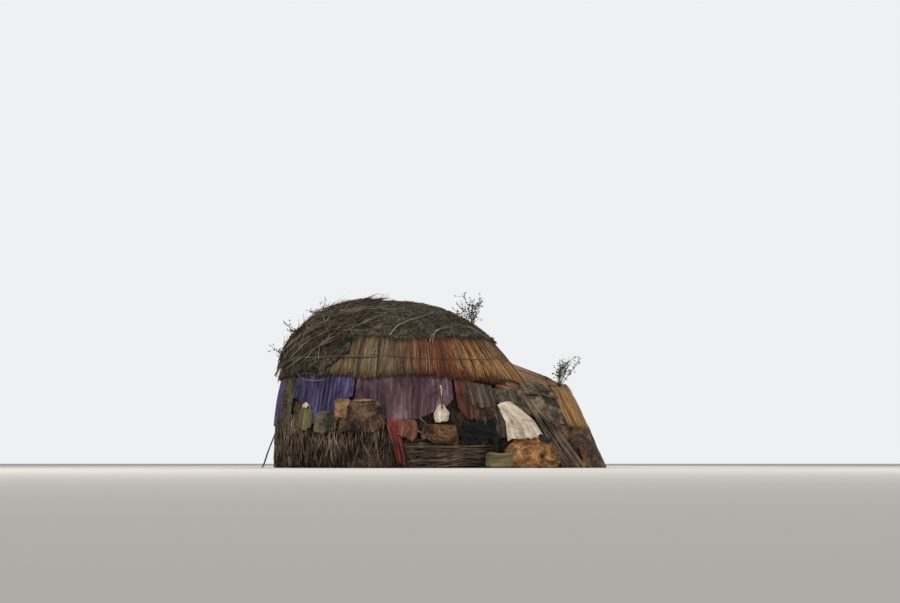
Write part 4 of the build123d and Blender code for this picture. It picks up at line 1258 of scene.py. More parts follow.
@dataclass(frozen=True)
class Stakes:
    """A thicket of uneven stakes and sticks that lean on the lining."""

    side: str
    start: float
    end: float
    count: int
    seed: int
    tops: tuple[Place, ...] = ((40, 0.42), (80, 0.40), (110, 0.48), (138, 0.54), (180, 0.55))
    short: Place = (0.35, 0.8)
    tall: Place = (0.80, 1.22)
    short_share: float = 0.25
    stout: Place = (0.007, 0.0120)
    slim: Place = (0.0025, 0.006)
    stout_share: float = 0.28
    depths: Place = (0.020, 0.052)
    stout_depth: float = 0.0265
    lean: float = 2.6
    steps: int = 8

    def build(self) -> None:
        """Makes the stakes."""
        chance, count = np.random.default_rng(self.seed), self.count
        bearing = np.linspace(self.start, self.end, count) + chance.normal(0, 0.3, count)
        top = look_up(self.tops, from_ahead(bearing)) * (1 + 0.16 * waves(self.seed + 3, bearing / 5))
        top = top * np.where(chance.random(count) < self.short_share, chance.uniform(*self.short, count),
                             chance.uniform(*self.tall, count))
        thick = np.where(chance.random(count) < self.stout_share, chance.uniform(*self.stout, count),
                         chance.uniform(*self.slim, count))
        is_stout = thick > (self.slim[1] + self.stout[0]) / 2
        depth = np.where(is_stout, self.stout_depth, chance.uniform(*self.depths, count))
        share = np.linspace(0, 1, self.steps)
        number = np.arange(count)[:, None]
        lean = chance.normal(0, self.lean, (count, 1))
        wander = waves(self.seed + 1, number * 3.3, share * 6)
        around = bearing[:, None] + lean * (share - 0.3) + 0.6 * wander * share
        layer = depth[:, None] + 0.010 * waves(self.seed + 2, number * 1.7, share * 5)
        paths = DOME.at(around, 0.004 + top[:, None] * share, np.maximum(layer, 0.018 + thick[:, None]))
        pale = np.arange(count) % 7 == 3
        strands_with_pale(f"brush_stakes_{self.side}", paths, swell(self.steps, thick, 0.4), 5, pale,
                          f"stakes_{self.side}")


@dataclass(frozen=True)
class Thatch:
    """Loose upright straw and twigs.

    Attributes:
        name: The piece's name.
        start: The bearing of the first.
        end: The bearing of the last.
        heights: The lowest foot and the highest top.
        count: How many.
        seed: Picks their shapes.
        finish: Their finish.
        depths: The innermost and outermost layer.
        radii: The thinnest and thickest.
        steps: Points of each.
    """

    name: str
    start: float
    end: float
    heights: Place
    count: int
    seed: int
    finish: Finish = BRUSHWOOD
    depths: Place = (0.018, 0.034)
    radii: Place = (0.0018, 0.0052)
    steps: int = 6

    def build(self) -> None:
        """Makes the straws."""
        chance, count = np.random.default_rng(self.seed), self.count
        bearing = chance.uniform(self.start, self.end, (count, 1))
        low = chance.uniform(self.heights[0], self.heights[1] - 0.25, (count, 1))
        share = np.linspace(0, 1, self.steps)
        height = np.minimum(low + chance.uniform(0.18, 0.46, (count, 1)) * share, self.heights[1])
        around = bearing + chance.normal(0, 2.8, (count, 1)) * (share - 0.5)
        around = around + 0.5 * waves(self.seed, bearing, share * 5)
        layer = chance.uniform(*self.depths, (count, 1)) + 0.008 * waves(self.seed + 1, bearing * 3, share * 4)
        paths = DOME.at(around, height, np.maximum(layer, 0.017))
        strands(self.name, self.finish, paths, swell(self.steps, chance.uniform(*self.radii, count), 0.4))


@dataclass(frozen=True)
class Wattle:
    """The level poles between the stakes and the porch, each bent round the wall, with thinner ones between."""

    start: float = -83.0
    end: float = -44.2
    foot: float = 0.020
    height: float = 0.350
    stout: Place = (0.009, 0.014)
    slim: Place = (0.0028, 0.0070)
    layer: float = 0.017
    weave: float = 0.011
    seed: int = 83
    count: int = 74
    steps: int = 26

    def build(self) -> None:
        """Makes the poles."""
        chance, count = np.random.default_rng(self.seed), self.count
        number = np.arange(count)
        thick = np.where(number % 4 == 0, chance.uniform(*self.stout, count), chance.uniform(*self.slim, count))
        height = self.foot + self.height * (number + chance.uniform(0, 1, count)) / count
        share = np.linspace(0, 1, self.steps)
        short = np.where(thick < self.stout[0], chance.uniform(0, 1, count), 0)[:, None]
        start = self.start + chance.uniform(-3.5, 3.5, (count, 1)) + short * chance.uniform(0, 18, (count, 1))
        end = self.end + chance.uniform(-4, 0.3, (count, 1)) - short * 9
        number, size = number[:, None], thick[:, None]
        rise = height[:, None] + 0.020 * waves(self.seed + 1, number * 2.7, share * 5)
        tilt = chance.normal(0, 0.032, (count, 1)) * (share - 0.5)
        layer = self.layer + size + self.weave * (1 + waves(self.seed + 2, number, share * 6))
        paths = DOME.at(between(start, end, share), np.maximum(rise + tilt, size + 0.001), layer)
        strands_with_pale("level_poles", paths, swell(self.steps, thick, 0.6), 6, np.arange(count) % 9 == 2,
                          "wattle_poles")


# ----------------------------------------------------------------------------------------- the porch


ROOF_FOOT = 1.30


@dataclass(frozen=True)
class PorchMat:
    """A mat over the porch, from where it leaves the dome.

    Attributes:
        name: The piece's name.
        finish: Its finish.
        node: The solid that it stands for.
        start: The turn of its first edge.
        end: The turn of its last edge.
        seed: Picks its unevenness.
        foot: The foot of its front edge.
        skin: The layer of its outer face.
        thickness: The mat's thickness.
    """

    name: str
    finish: Finish
    node: str
    start: float
    end: float
    seed: int
    foot: float = 2.873
    skin: float = 0.0205
    thickness: float = 0.016

    def place(self, along: Array, up: Array) -> Array:
        """Points of the mat."""
        turn = between(self.start, self.end, along)
        layer = self.skin + 0.004 * waves(self.seed, along * 14, up * 14) - 0.008 * up ** 8
        start = np.maximum(PORCH.first_foot(turn, layer), ROOF_FOOT)
        end = self.foot + 0.010 * waves(self.seed + 1, along * 12)
        return PORCH.at_turn(between(start, end, up), turn, layer)

    def build(self) -> None:
        """Makes the mat."""
        lay_net(self.name, 48, 46, self.place).finish(self.thickness, self.finish, self.node)


@dataclass(frozen=True)
class PorchFibres:
    """Loose fibres that run with the porch from the dome to its mouth.

    Attributes:
        name: The piece's name.
        finish: Their finish.
        turns: The first and last turn.
        foot: The foot of their ends.
        layer: Their layer.
        count: How many fibres.
        seed: Picks their places.
        radius: Their radius.
        steps: Points of each.
    """

    name: str
    finish: Finish
    turns: Place
    foot: float
    layer: float
    count: int
    seed: int
    radius: float = 0.0048
    steps: int = 8

    def build(self) -> None:
        """Makes the fibres."""
        chance, count = np.random.default_rng(self.seed), self.count
        turn = chance.uniform(*self.turns, count)
        start = np.maximum(PORCH.first_foot(turn, np.full(count, self.layer)), ROOF_FOOT)
        start = np.where(chance.random(count) < 0.3, start + chance.uniform(0, 0.5, count), start)
        end = self.foot + chance.normal(0, 0.014, count) + 0.012 * waves(self.seed, turn * 12)
        share = np.linspace(0, 1, self.steps)
        foot = start[:, None] + np.maximum(end - start, 0.05)[:, None] * share
        wander = waves(self.seed + 1, np.arange(count)[:, None] * 1.3, share * 4)
        across = turn[:, None] + chance.normal(0, 0.012, (count, 1)) * wander
        paths = PORCH.at_turn(foot, across, self.layer + chance.uniform(0, 0.008, (count, 1)))
        radii = swell(self.steps, chance.uniform(0.6, 1.2, count) * self.radius, 0.7, 0.8)
        strands(self.name, self.finish, paths, radii, across=turn * 1.1)


@dataclass(frozen=True)
class Mouth:
    """The gold mat and the dark hide on one side of the mouth, and the roof mat's corner that hangs over them.

    Attributes:
        side: -1 the near side, and 1 the far side.
        name: The side's name.
        seed: Picks the gold mat's straws.
        roof: The finish of the dome's roof mat on this side.
        hide_node: The solid that the hide stands for.
        mat_node: The solid that the gold mat stands for.
        straws: How many straws the gold mat has.
        straw_feet: The first and last straw's foot.
        straw_radii: The thinnest and thickest straw.
        corner_fibres: How many fibres and straws lie on the corner.
        fibre_radii: The thinnest and thickest of those.
        feet: Where the hide starts and ends.
        hide_height: The hide's height.
        hide_layer: The hide's lowest layer.
    """

    side: int
    name: str
    seed: int
    roof: Finish
    hide_node: str = ""
    mat_node: str = ""
    straws: int = 460
    straw_feet: Place = (2.575, 2.872)
    straw_radii: Place = (0.0035, 0.0066)
    corner_fibres: int = 300
    fibre_radii: Place = (0.003, 0.0062)
    feet: Place = (2.264, 2.873)
    hide_height: float = 0.62
    hide_layer: float = 0.034

    def flip(self, share: Array) -> Array:
        """Shares along the piece that run outwards from the dome on both sides."""
        return share if self.side < 0 else 1 - share

    def gold_mat(self) -> None:
        """Makes the gold mat's straws, which run down the slope."""
        chance, count, steps = np.random.default_rng(self.seed), self.straws, 7
        foot = np.sort(chance.uniform(*self.straw_feet, count))
        share = np.linspace(0, 1, steps)
        low = 0.580 + chance.normal(0, 0.024, count) + 0.10 * (2.6 - foot)
        high = 1.075 + 0.03 * chance.random(count) + 0.05 * (foot - 2.3)
        height = between(low[:, None], high[:, None], share)
        spread = np.clip(foot[:, None] + chance.normal(0, 0.010, (count, 1)) * (1 - share), 2.262, 2.874)
        layer = 0.050 + chance.uniform(0, 0.016, (count, 1)) + 0.006 * (1 - share) ** 3
        paths = PORCH.on_side(self.side, spread, height, layer)
        radii = swell(steps, chance.uniform(*self.straw_radii, count), 0.8, 0.5)
        strands(f"gold_mat_{self.name}", GOLD_MAT, paths, radii, node=self.mat_node, across=foot * 1.7)

    def hide(self, along: Array, up: Array) -> Array:
        """Points of the folded hide, from the ground up."""
        flip = self.flip(along)
        height = 0.003 + (self.hide_height + 0.035 * waves(102, flip * 7)) * up
        bulge = 0.046 * (0.6 + 0.6 * waves(101, flip * 7, up * 6)) * np.minimum(1, 8 * (1 - up) + 0.2)
        bulge = bulge + 0.020 * np.maximum(0, waves(103, flip * 16, up * 7))
        bend = np.minimum(1, 0.4 + (1 - flip) * 6)
        layer = self.hide_layer + (0.012 + np.maximum(bulge, 0) * np.minimum(1, flip * 5 + 0.2)) * bend
        return PORCH.on_side(self.side, between(*self.feet, flip), height, layer)

    def corner(self, across: Array, along: Array, layer: Array) -> Array:
        """Points of the overhanging corner, by shares across its mat and down it."""
        foot = (1.86 + 0.31 * across) * (1 - along) + (1.93 + 0.33 * across) * along
        turn = (1.02 + 0.40 * across) * (1 - along) + (0.775 + 0.045 * across) * along
        return PORCH.at_turn(foot, turn, layer) * (1, -self.side, 1)

    def corner_base(self, along: Array, up: Array) -> Array:
        """Points of the overhanging corner's mat."""
        across = self.flip(along)
        return self.corner(across, 1 - up, 0.070 + 0.004 * waves(119, across * 9, up * 4))

    def overhang(self, chance: Chance) -> None:
        """Makes the loose corner of the dome's roof mat, which hangs down over the porch's shoulder."""
        lay_net(f"overhang_mat_{self.name}", 36, 24, self.corner_base).finish(0.012, self.roof)
        count, steps = self.corner_fibres, 8
        across = np.sort(chance.uniform(-0.02, 1.02, count))[:, None]
        share = np.linspace(0, 1, steps)
        along = chance.uniform(0, 0.15, (count, 1)) + chance.uniform(0.86, 0.92, (count, 1)) * share
        paths = self.corner(across, along, 0.076 + chance.uniform(0, 0.010, (count, 1)))
        radii = swell(steps, chance.uniform(*self.fibre_radii, count), 0.7, 0.5)
        gold = np.sin(across[:, 0] * 34) > 0.25
        strands(f"overhang_fibres_{self.name}", PORCH_MAT, paths[~gold], radii[~gold])
        strands(f"overhang_straws_{self.name}", GOLD_STRAW, paths[gold], radii[gold])

    def drape(self) -> None:
        net = lay_net(f"mouth_hide_{self.name}", 74, 60, self.hide).finish(0.006, BROWN_HIDE, self.hide_node)
        net.declare_sheet("draped", f"porch_side_{self.name}")


@dataclass(frozen=True)
class FrontWall:
    """Reeds lashed side by side in the leaning plane of the mouth, round the doorway and its posts."""

    doorway: Place = (0.28, 0.83)
    foot: float = 2.860
    reed_pitch: float = 0.0125
    reed_radii: Place = (0.0058, 0.0074)
    reed_depths: Place = (0.006, 0.014)
    inset: float = -0.004
    ragged: float = 0.012
    bands: tuple[float, ...] = (0.16, 0.45, 0.74, 0.93, 1.05)
    band_radius: float = 0.0055
    post_radius: float = 0.0205
    post_gap: float = 0.022
    post_depth: float = 0.0428
    post_rise: float = 0.018
    slant: float = math.hypot(1, PORCH.lean)

    def outline(self, share: Array) -> Array:
        """Share of the mouth's height at a share of its half width, and the other way round."""
        return (1 - share ** PORCH.arch) ** (1 / PORCH.arch)

    def reeds(self) -> None:
        """Makes the reeds and the bindings across them."""
        chance = np.random.default_rng(97)
        half, top = PORCH.half(self.foot, self.inset), PORCH.top(self.foot, self.inset)
        across = np.arange(-half + self.reed_pitch / 2, half, self.reed_pitch)
        height = top * self.outline(np.abs(across) / half) - chance.uniform(0, self.ragged, len(across))
        low = np.where(np.abs(across) < self.doorway[0], self.doorway[1] + 0.012, 0.001)
        keep = height > low + 0.02
        across, height, low = (values[keep, None] for values in (across, height, low))
        share = np.linspace(0, 1, 8)
        up = between(low, height, share)
        depth = chance.uniform(*self.reed_depths, across.shape) * self.slant
        paths = PORCH.mouth(self.foot, up, depth, across + 0.004 * waves(98, across * 30, share * 6))
        radii = np.broadcast_to(chance.uniform(*self.reed_radii, across.shape), up.shape)
        strands("front_wall_reeds", GOLD_MAT, paths, radii, 6, "front_wall", across[:, 0])
        bands, jamb = [], self.doorway[0] + 0.004
        for level in self.bands:
            wide = half * self.outline(level / top) - 0.012
            over = level > self.doorway[1] + 0.03
            for ends in ((-wide, wide),) if over else ((-wide, -jamb), (jamb, wide)):
                y = np.linspace(*ends, 18)
                z = level + 0.006 * waves(int(level * 100), y * 5)
                bands.append(PORCH.mouth(self.foot, z, 0.002, y))
        strands("front_wall_bindings", ROPE, np.array(bands), np.full((len(bands), 18), self.band_radius), 6)

    def posts(self) -> None:
        """Makes the round door posts and lintel."""
        out, top = (edge + self.post_gap for edge in self.doorway)
        steps, paths, head = 14, [], top + self.post_rise
        for y0, z0, y1, z1 in ((-out, 0.0, -out, head), (out, 0.0, out, head), (-out, top, out, top)):
            y, z = np.linspace(y0, y1, steps), np.linspace(z0, z1, steps)
            wander = 0.0025 * waves(int(200 + y1 * 50 + z1 * 10), np.linspace(0, 7, steps))
            paths.append(PORCH.mouth(self.foot, z, self.post_depth * self.slant - wander, y + wander))
        paths = np.array(paths)
        paths[:2, 0, 2] = 0.0005
        strands("door_frame_poles", BARE_BRANCH, paths, np.full((3, steps), self.post_radius), 10, "door_frame")


@dataclass(frozen=True)
class Rims:
    """The bound edges of the porch's two roof mats."""

    fronts: tuple[tuple[float, float, int, float], ...] = (
        (2.868, 0.036, 112, 0.02), (2.862, 0.048, 113, 0.02), (2.556, 0.056, 114, 0.8))
    sides: tuple[float, ...] = (0.80, math.pi - 0.80)
    layer: float = 0.056
    radius: float = 0.0095
    steps: int = 70

    def build(self) -> None:
        """Makes the rims."""
        paths = []
        for foot, layer, seed, first in self.fronts:
            turn = np.linspace(first, math.pi - first, self.steps)
            uneven = 0.005 * waves(seed, turn * 5)
            paths.append(PORCH.at_turn(foot + uneven, turn, layer + uneven))
        foot = np.linspace(1.72, 2.54, self.steps)
        uneven = 0.008 * waves(115, foot * 8)
        paths += [PORCH.at_turn(foot, side + uneven, self.layer + uneven) for side in self.sides]
        number, turn = np.arange(len(paths))[:, None], np.linspace(0.02, math.pi - 0.02, self.steps)
        radii = self.radius + 0.0025 * waves(116, number * 3, turn * 9)
        strands("porch_mat_rims", DARK_POLE, np.array(paths), radii, 7)


SIDE_TURN, COAT_TURN, UPPER_TURN = 0.62, 0.66, 0.80
PORCH_LAYERS: tuple[PorchMat | PorchFibres, ...] = (
    PorchMat("porch_side_near", LINING, "porch_wall_near", 0.0, SIDE_TURN, 91),
    PorchMat("porch_side_far", LINING, "porch_wall_far", math.pi - SIDE_TURN, math.pi, 92),
    PorchMat("porch_roof_base", PORCH_MAT, "porch_roof", SIDE_TURN, math.pi - SIDE_TURN, 93, thickness=0.018),
    PorchFibres("porch_roof_fibres", PORCH_MAT, (COAT_TURN, math.pi - COAT_TURN), 2.872, 0.0265, 760, 94),
    PorchFibres("porch_side_fibres_near", GREY_MAT, (0.10, COAT_TURN), 2.28, 0.0265, 340, 102),
    PorchFibres("porch_side_fibres_far", GREY_MAT, (math.pi - COAT_TURN, math.pi - 0.10), 2.28, 0.0265, 340,
                103),
    PorchMat("porch_upper_mat", PORCH_MAT, "porch_roof_mat", UPPER_TURN, math.pi - UPPER_TURN, 95,
             2.56, 0.046, 0.014),
    PorchFibres("porch_upper_fibres", PORCH_MAT, (UPPER_TURN, math.pi - UPPER_TURN), 2.565, 0.050, 900, 96),
)
MOUTHS = (Mouth(-1, "near", 99, RUST_MAT, "porch_hides", "porch_side_mats"), Mouth(1, "far", 100, FAR_MAT))


# -------------------------------------------------------------------------- ropes, branches and poles


@dataclass(frozen=True)
class Routes:
    """Ropes or branches bent over the dome, as one piece.

    Attributes:
        name: The piece's name.
        finish: Its finish.
        places: The (bearing, height, layer) places of each.
        thick: The radius of each.
        steps: Points of each.
        wobble: How uneven they are.
        seeds: Pick their unevenness.
        thin_end: The last radius, as a share, or 0 for the same all along.
        sides: Faces round each.
        node: The solid that they stand for.
    """

    name: str
    finish: Finish
    places: tuple[tuple[Spot, ...], ...]
    thick: tuple[float, ...]
    steps: int
    wobble: float
    seeds: Sequence[int]
    thin_end: float = 0.0
    sides: int = 6
    node: str = ""

    def path(self, places: Sequence[Spot], seed: int) -> Array:
        """A smooth, uneven path through places."""
        share = np.linspace(0, 1, self.steps)
        fit = np.array(along_places(places, share))
        for _ in range(3):
            fit[:, 1:-1] = (fit[:, :-2] + fit[:, 1:-1] + fit[:, 2:]) / 3
        uneven = self.wobble * waves(seed, share * 9)
        return DOME.at(fit[0] + 3 * uneven, fit[1] + uneven, fit[2] + np.abs(uneven) * 0.3)

    def build(self) -> None:
        """Makes the piece."""
        paths = np.array([self.path(places, seed) for places, seed in zip(self.places, self.seeds)])
        even = np.repeat(np.reshape(self.thick, (-1, 1)), self.steps, axis=1)
        radii = swell(self.steps, self.thick, self.thin_end) if self.thin_end else even
        strands(self.name, self.finish, paths, radii, self.sides, self.node)


SEAM = ((20, 1.60), (32, 1.52), (47, 1.46), (60, 1.45), (78, 1.455), (90, 1.475), (103, 1.50))
ROUTES = (
    Routes("seam_ropes", ROPE, tuple(tuple((side * b, z, 0.108) for b, z in SEAM) for side in (-1, 1)),
           (0.0055, 0.0055), 60, 0.004, (109, 111), node="tie_ropes"),
    Routes("brush_rope", ROPE, (((-168, 1.30, 0.165), (-155, 1.44, 0.168), (-142, 1.50, 0.165),
                                 (-128, 1.47, 0.158), (-116, 1.49, 0.135), (-100, 1.47, 0.106)),),
           (0.0095,), 60, 0.006, (112,), sides=7),
    Routes("bent_branches", BARE_BRANCH, (
        ((-94, 1.77, 0.128), (-91, 1.90, 0.130), (-84, 1.99, 0.130), (-74, 2.06, 0.132), (-62, 2.14, 0.132)),
        ((-71, 1.66, 0.108), (-69, 1.82, 0.128), (-61, 1.93, 0.130), (-46, 1.98, 0.132), (-33, 1.95, 0.132),
         (-24, 1.86, 0.132)),
        ((-73, 1.62, 0.108), (-71, 1.78, 0.126), (-64, 1.88, 0.130), (-52, 1.93, 0.132), (-40, 1.95, 0.132)),
        ((-137, 1.42, 0.170), (-132, 1.62, 0.172), (-122, 1.78, 0.172), (-110, 1.95, 0.166),
         (-100, 2.08, 0.160)),
        ((-128, 1.46, 0.165), (-130, 1.62, 0.172), (-124, 1.86, 0.172), (-118, 2.05, 0.168)),
        ((-150, 1.48, 0.170), (-141, 1.70, 0.176), (-128, 1.86, 0.176), (-112, 1.93, 0.166)),
        ((-142, 1.30, 0.150), (-138, 1.20, 0.120), (-130, 1.16, 0.100), (-124, 1.17, 0.095))),
        (0.0095, 0.0085, 0.0065, 0.008, 0.0065, 0.0075, 0.006), 26, 0.007, range(120, 127), 0.55, 7,
        "roof_branches"),
    Routes("roof_sticks", BARE_BRANCH, (
        ((-76, 1.25, 0.100), (-75.5, 1.45, 0.104), (-75, 1.64, 0.106)),
        ((-74.5, 1.24, 0.100), (-74.2, 1.45, 0.104), (-73.6, 1.66, 0.106)),
        ((-56, 1.36, 0.100), (-54, 1.55, 0.104), (-53, 1.72, 0.106)),
        ((-126, 1.30, 0.110), (-125.5, 1.45, 0.150), (-125, 1.58, 0.160)),
        ((-18, 1.845, 0.135), (0, 1.86, 0.150), (16, 1.85, 0.135)),
        ((-82, 0.50, 0.075), (-77, 0.42, 0.078), (-73, 0.36, 0.080)),
        ((-80, 0.66, 0.072), (-78, 0.60, 0.075), (-76, 0.55, 0.075))),
        (0.0055, 0.0045, 0.0045, 0.005, 0.011, 0.010, 0.008), 14, 0.003, range(130, 137), 0.7),
)


@dataclass(frozen=True)
class LeaningPoles:
    """The thin poles fanned against both sides of the porch.

    Attributes:
        poles: How many on a side.
        feet: The first foot, the step to the next and their spread.
        top_feet: The same for the arches where their tops lie.
        heights: The first top's height, and how much lower the next and a chosen one may be.
        radii: The thinnest and thickest.
        layers: The layers of their feet and tops.
        clearance: The least layer along them.
        seed: Picks their places.
        steps: Points of each.
    """

    poles: int = 12
    feet: Spot = (2.24, 0.030, 0.012)
    top_feet: Spot = (2.09, 0.018, 0.016)
    heights: Spot = (1.08, 0.026, 0.12)
    radii: Place = (0.0045, 0.0100)
    layers: Place = (0.09, 0.07)
    clearance: float = 0.096
    seed: int = 141
    steps: int = 16

    def pole(self, side: int, number: int, chance: Chance) -> tuple[Array, float]:
        """The path and radius of one pole, moved out by the bulge of the porch behind it."""
        foot, top_foot = (first + step * number + chance.normal(0, spread)
                          for first, step, spread in (self.feet, self.top_feet))
        height = self.heights[0] - self.heights[1] * number - self.heights[2] * chance.random()
        radius = chance.uniform(*self.radii)
        start = PORCH.at(side, foot, 0.0, self.layers[0] + radius)
        end = PORCH.at(side, top_foot - PORCH.lean * height, height, self.layers[1] + radius)
        share = np.linspace(0, 1, self.steps)
        line = between(start, end, share[:, None])
        skin = PORCH.at(side, line[:, 0] - DOME.axis_x, line[:, 2], self.clearance + radius)
        line[:, 1] += side * max(0.0, float(np.max((skin[:, 1] - line[:, 1]) * side)))
        line[:, 0] += 0.006 * waves(self.seed + 1, share * 5, number)
        line[0, 2] = 0.002
        return line, radius

    def build(self) -> None:
        """Makes the poles."""
        chance = np.random.default_rng(self.seed)
        made = [self.pole(side, number, chance) for side in (-1, 1) for number in range(self.poles)]
        paths, thick = zip(*made)
        strands("fanned_poles", PALE_STICK, np.array(paths), swell(self.steps, thick, 0.7), 6, "leaning_poles")


@dataclass(frozen=True)
class PropPole:
    """The prop pole at the back, forked at its top."""

    inset: float = 0.012
    radii: Place = (0.011, 0.006)
    fork: Spot = (0.05, 0.02, 0.13)
    steps: int = 18

    def build(self) -> None:
        """Makes the pole inside its solid's box."""
        low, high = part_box("prop_pole")
        share = np.linspace(0, 1, self.steps)[:, None]
        ends = low.y + self.inset, high.y - self.inset
        out, back = ends if abs(low.y) > abs(high.y) else ends[::-1]
        foot, head = np.array([low.x + self.inset, out, 0.001]), np.array([high.x - self.inset, back, high.z])
        line = between(foot, head, share)
        line[:, 0] += 0.008 * waves(151, share[:, 0] * 6)
        fork = line[-3] + np.array(self.fork) * share
        radii = swell(self.steps, self.radii, 0.7)
        strands("prop_pole_forked", BRUSHWOOD, np.array([line, fork]), radii, 8, "prop_pole")


@dataclass(frozen=True)
class FootBundle:
    """The slack bundle of sacking in the corner between the dome and the porch."""

    turn: float = 22.0
    size: Spot = (0.372, 0.166, 0.214)
    body: float = 0.94
    creases: float = 0.055
    sag: float = 0.07
    seed: int = 161

    def build(self) -> None:
        """Makes the bundle from a rounded block, sagged and creased."""
        low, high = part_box("foot_bundle")
        centre = (low + high) / 2
        bpy.ops.object.select_all(action="DESELECT")
        bpy.ops.mesh.primitive_cube_add(size=1.0)
        piece = started("sack_bundle")
        in_edit_mode(bpy.ops.mesh.subdivide, number_cuts=3)
        modify(piece, "SUBSURF", levels=3, render_levels=3)
        points = points_of(piece.data)
        points /= np.abs(points).max(axis=0) * 2
        x, y, z = points.T
        free = np.clip((z + 0.5) * 3, 0, 1)
        points = points * (self.body + self.creases * waves(self.seed, x * 9, y * 9 + z * 10) * free)[:, None]
        points[:, 2] -= self.sag * free * np.cos(points[:, 0] * 2.6) ** 2 * (points[:, 2] > 0.2)
        x, y, z = (np.clip(points, -0.5, 0.5) * self.size).T
        cosine, sine = math.cos(math.radians(self.turn)), math.sin(math.radians(self.turn))
        turned = np.stack([x * cosine - y * sine, x * sine + y * cosine, z], -1)
        set_points(piece.data, turned + (centre.x, centre.y, self.size[2] / 2))
        piece.data.update()
        dress(piece, KHAKI, "foot_bundle")


# ----------------------------------------------------------------------------------- frame and studio


FRAME_NODES = (*[f"cross_hoop_{n}" for n in range(1, 6)], *[f"long_arch_{n}" for n in ("near", "ridge", "far")],
               "ring_laths", "eave_pole", "porch_hoops")


def dress_frame(nodes: dict[str, bpy.types.Object]) -> None:
    """Gives the bent poles inside, which stay as they were packed, their bark."""
    for name in FRAME_NODES:
        nodes[name].data.materials.clear()
        nodes[name].data.materials.append(BENT_POLE.material())
        log.info("%s: kept and dressed", name)


@dataclass(frozen=True)
class Studio:
    """Pale floor and backdrop, soft lights and the camera.

    Attributes:
        lamps: Each lamp's name, place, aim, size and power.
        camera_place: Where the camera stands.
        pitch: How far it looks up, in degrees.
        lens: Its focal length in millimetres.
        sensor: Its sensor's width in millimetres.
        sight: How far it sees.
        floor: The floor's size.
        floor_colour: The floor's colour.
        floor_roughness: The floor's roughness.
        lit: The backdrop's colour in the light that it gives.
        seen: The backdrop's colour to the camera and in gloss.
    """

    lamps: tuple[tuple[str, Spot, Spot, float, float], ...] = (
        ("key", (-7.0, -9.5, 9.5), (0, 0, 0.9), 5.0, 900.0),
        ("fill", (9.5, -8.0, 5.0), (0.6, 0, 0.8), 6.0, 420.0),
        ("back", (2.0, 10.0, 8.0), (0, 0, 1.2), 6.0, 600.0))
    camera_place: Spot = (0.224, -18.125, 0.06)
    pitch: float = 7.38
    lens: float = 50.0
    sensor: float = 36.0
    sight: float = 1000.0
    floor: float = 400.0
    floor_colour: Colour = (214, 208, 199)
    floor_roughness: float = 0.95
    lit: tuple[float, ...] = (0.52, 0.54, 0.57, 1)
    seen: tuple[float, ...] = (0.86, 0.87, 0.89, 1)

    def stage(self) -> None:
        """Makes the floor and the backdrop."""
        bpy.ops.object.select_all(action="DESELECT")
        bpy.ops.mesh.primitive_plane_add(size=self.floor)
        floor = started("studio_floor")
        made = bpy.data.materials.new("studio_floor")
        made.use_nodes = True
        Nodes(made.node_tree).feed(made.node_tree.nodes["Principled BSDF"], {
            "Base Color": linear(self.floor_colour), "Roughness": self.floor_roughness,
            "Specular IOR Level": 0.0})
        floor.data.materials.append(made)
        world = bpy.data.worlds.new("studio")
        bpy.context.scene.world = world
        world.use_nodes = True
        nodes = Nodes(world.node_tree)
        rays = nodes.add("LightPath", {}).outputs
        seen = nodes.add("Math", {0: rays["Is Camera Ray"], 1: rays["Is Glossy Ray"]}, operation="MAXIMUM")
        mix = nodes.add("Mix", {"A": self.lit, "B": self.seen, "Factor": seen.outputs[0]}, data_type="RGBA")
        nodes.feed(world.node_tree.nodes["Background"], {"Color": mix.outputs["Result"], "Strength": 1.0})

    def build(self) -> None:
        """Makes the stage, the lights and the camera."""
        self.stage()
        scene = bpy.context.scene
        for name, place, aim, size, power in self.lamps:
            data = bpy.data.lights.new(name, "AREA")
            data.energy, data.size = power, size
            lamp = bpy.data.objects.new(name, data)
            scene.collection.objects.link(lamp)
            lamp.location = place
            lamp.rotation_euler = (Vector(aim) - Vector(place)).to_track_quat("-Z", "Y").to_euler()
        data = bpy.data.cameras.new("camera")
        data.lens, data.sensor_width, data.sensor_fit = self.lens, self.sensor, "HORIZONTAL"
        data.clip_end = self.sight
        camera = bpy.data.objects.new("camera", data)
        scene.collection.objects.link(camera)
        camera.location = self.camera_place
        camera.rotation_euler = (math.radians(90 + self.pitch), 0, 0)
        scene.camera = camera
        scene.view_settings.view_transform = "Standard"


# ------------------------------------------------------------------------------------- the whole house


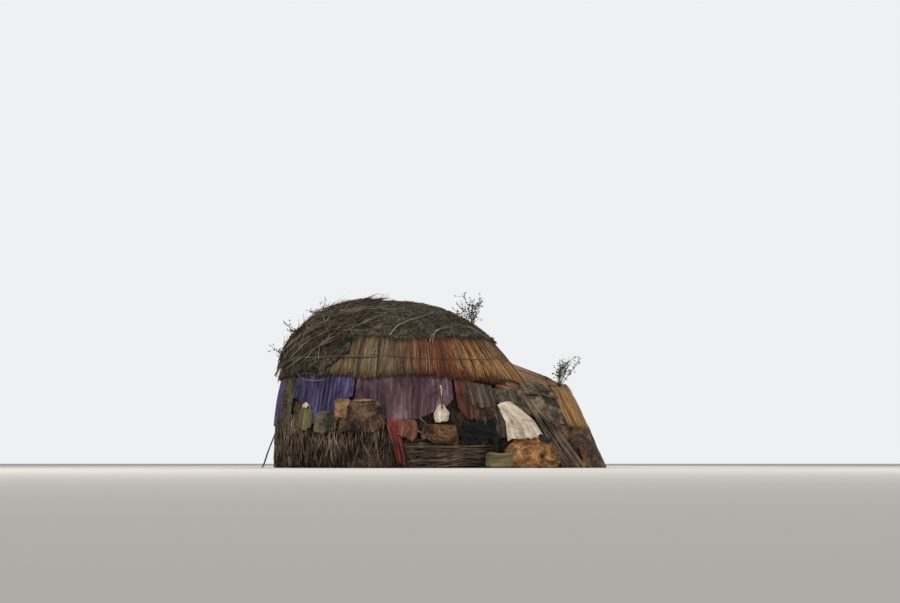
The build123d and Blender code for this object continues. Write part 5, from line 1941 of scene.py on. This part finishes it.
GORES = (
    Gore("near", -138.0, -38.0, 1750, RUST_MAT, 20), Gore("back", 138.0, 222.0, 800, FAR_MAT, 21),
    Gore("far", 38.0, 138.0, 1300, FAR_MAT, 22), Gore("front", -38.0, 38.0, 850, FAR_MAT, 23),
)
BRUSH = Brush((
    Twigs("brush_scrub", MOSS, 2600, (0.06, 0.20), (0.0018, 0.0038), 0.030, 5),
    Twigs("brush_twigs", HEAP_TWIG, 330, (0.22, 0.62), (0.0030, 0.0068), 0.062),
    Twigs("brush_twigs_pale", BARE_BRANCH, 46, (0.35, 0.80), (0.0035, 0.0062), 0.050),
))
WALL_FOOT = (
    Lining("near", -140, -39, 86), Lining("back", 140, 220, 87), Lining("far", 39, 140, 88),
    Stakes("near", -179.5, -82, 620, 89), Stakes("far", 44, 179.5, 700, 90),
    Thatch("wall_thatch_near", -181, -41, (0.30, 1.12), 1500, 95),
    Thatch("wall_thatch_far", 41, 179, (0.30, 1.12), 1400, 104),
    Thatch("front_sticks_near", -162, -92, (0.004, 0.72), 210, 105, PALE_STICK, (0.062, 0.106),
           (0.0032, 0.0080)),
    Thatch("front_sticks_far", 46, 176, (0.004, 0.70), 260, 106, PALE_STICK, (0.062, 0.100),
           (0.0032, 0.0080)),
    Wattle(),
)
SPRIGS = (
    Sprig("crown_sprig", (0.52, -0.50, 1.96), (-0.06, -0.10, 1.0), 0.48, 9, 171),
    Sprig("porch_sprig", (1.77, -0.42, 1.13), (0.20, -0.12, 1.0), 0.50, 9, 172),
    Sprig("back_sprig_low", (-2.10, -0.45, 1.50), (-0.34, -0.1, 1.0), 0.32, 4, 173),
    Sprig("back_sprig_middle", (-1.90, -0.50, 1.80), (-0.40, -0.1, 1.0), 0.30, 4, 174),
    Sprig("back_sprig_upper", (-1.62, -0.45, 2.06), (-0.30, -0.1, 1.0), 0.28, 4, 175),
    Sprig("back_sprig_top", (-1.08, -0.32, 2.25), (-0.25, -0.1, 1.0), 0.19, 3, 176),
)
OVERHANG_SEED = 118


def build_mouths() -> None:
    """Makes the roof mat's corners, the gold mats and the hides on both sides of the mouth."""
    chance = np.random.default_rng(OVERHANG_SEED)
    for mouth in MOUTHS:
        mouth.overhang(chance)
    for mouth in MOUTHS:
        mouth.gold_mat()
    for mouth in MOUTHS:
        mouth.drape()


def main() -> None:
    """Builds the house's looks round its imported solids."""
    logging.basicConfig(level=logging.INFO, format="%(name)s: %(message)s")
    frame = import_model()
    Studio().build()
    dress_frame(frame["nodes"])
    for piece in (*GORES, EaveStraws(), CrownMat(), BRUSH, *CLOTHS, *WALL_FOOT, *PORCH_LAYERS):
        piece.build()
    build_mouths()
    front = FrontWall()
    front.reeds()
    Rims().build()
    front.posts()
    for piece in (*ROUTES, LeaningPoles(), PropPole(), FootBundle(), *SPRIGS):
        piece.build()
    bpy.context.view_layer.update()


if __name__ == "__main__":
    main()
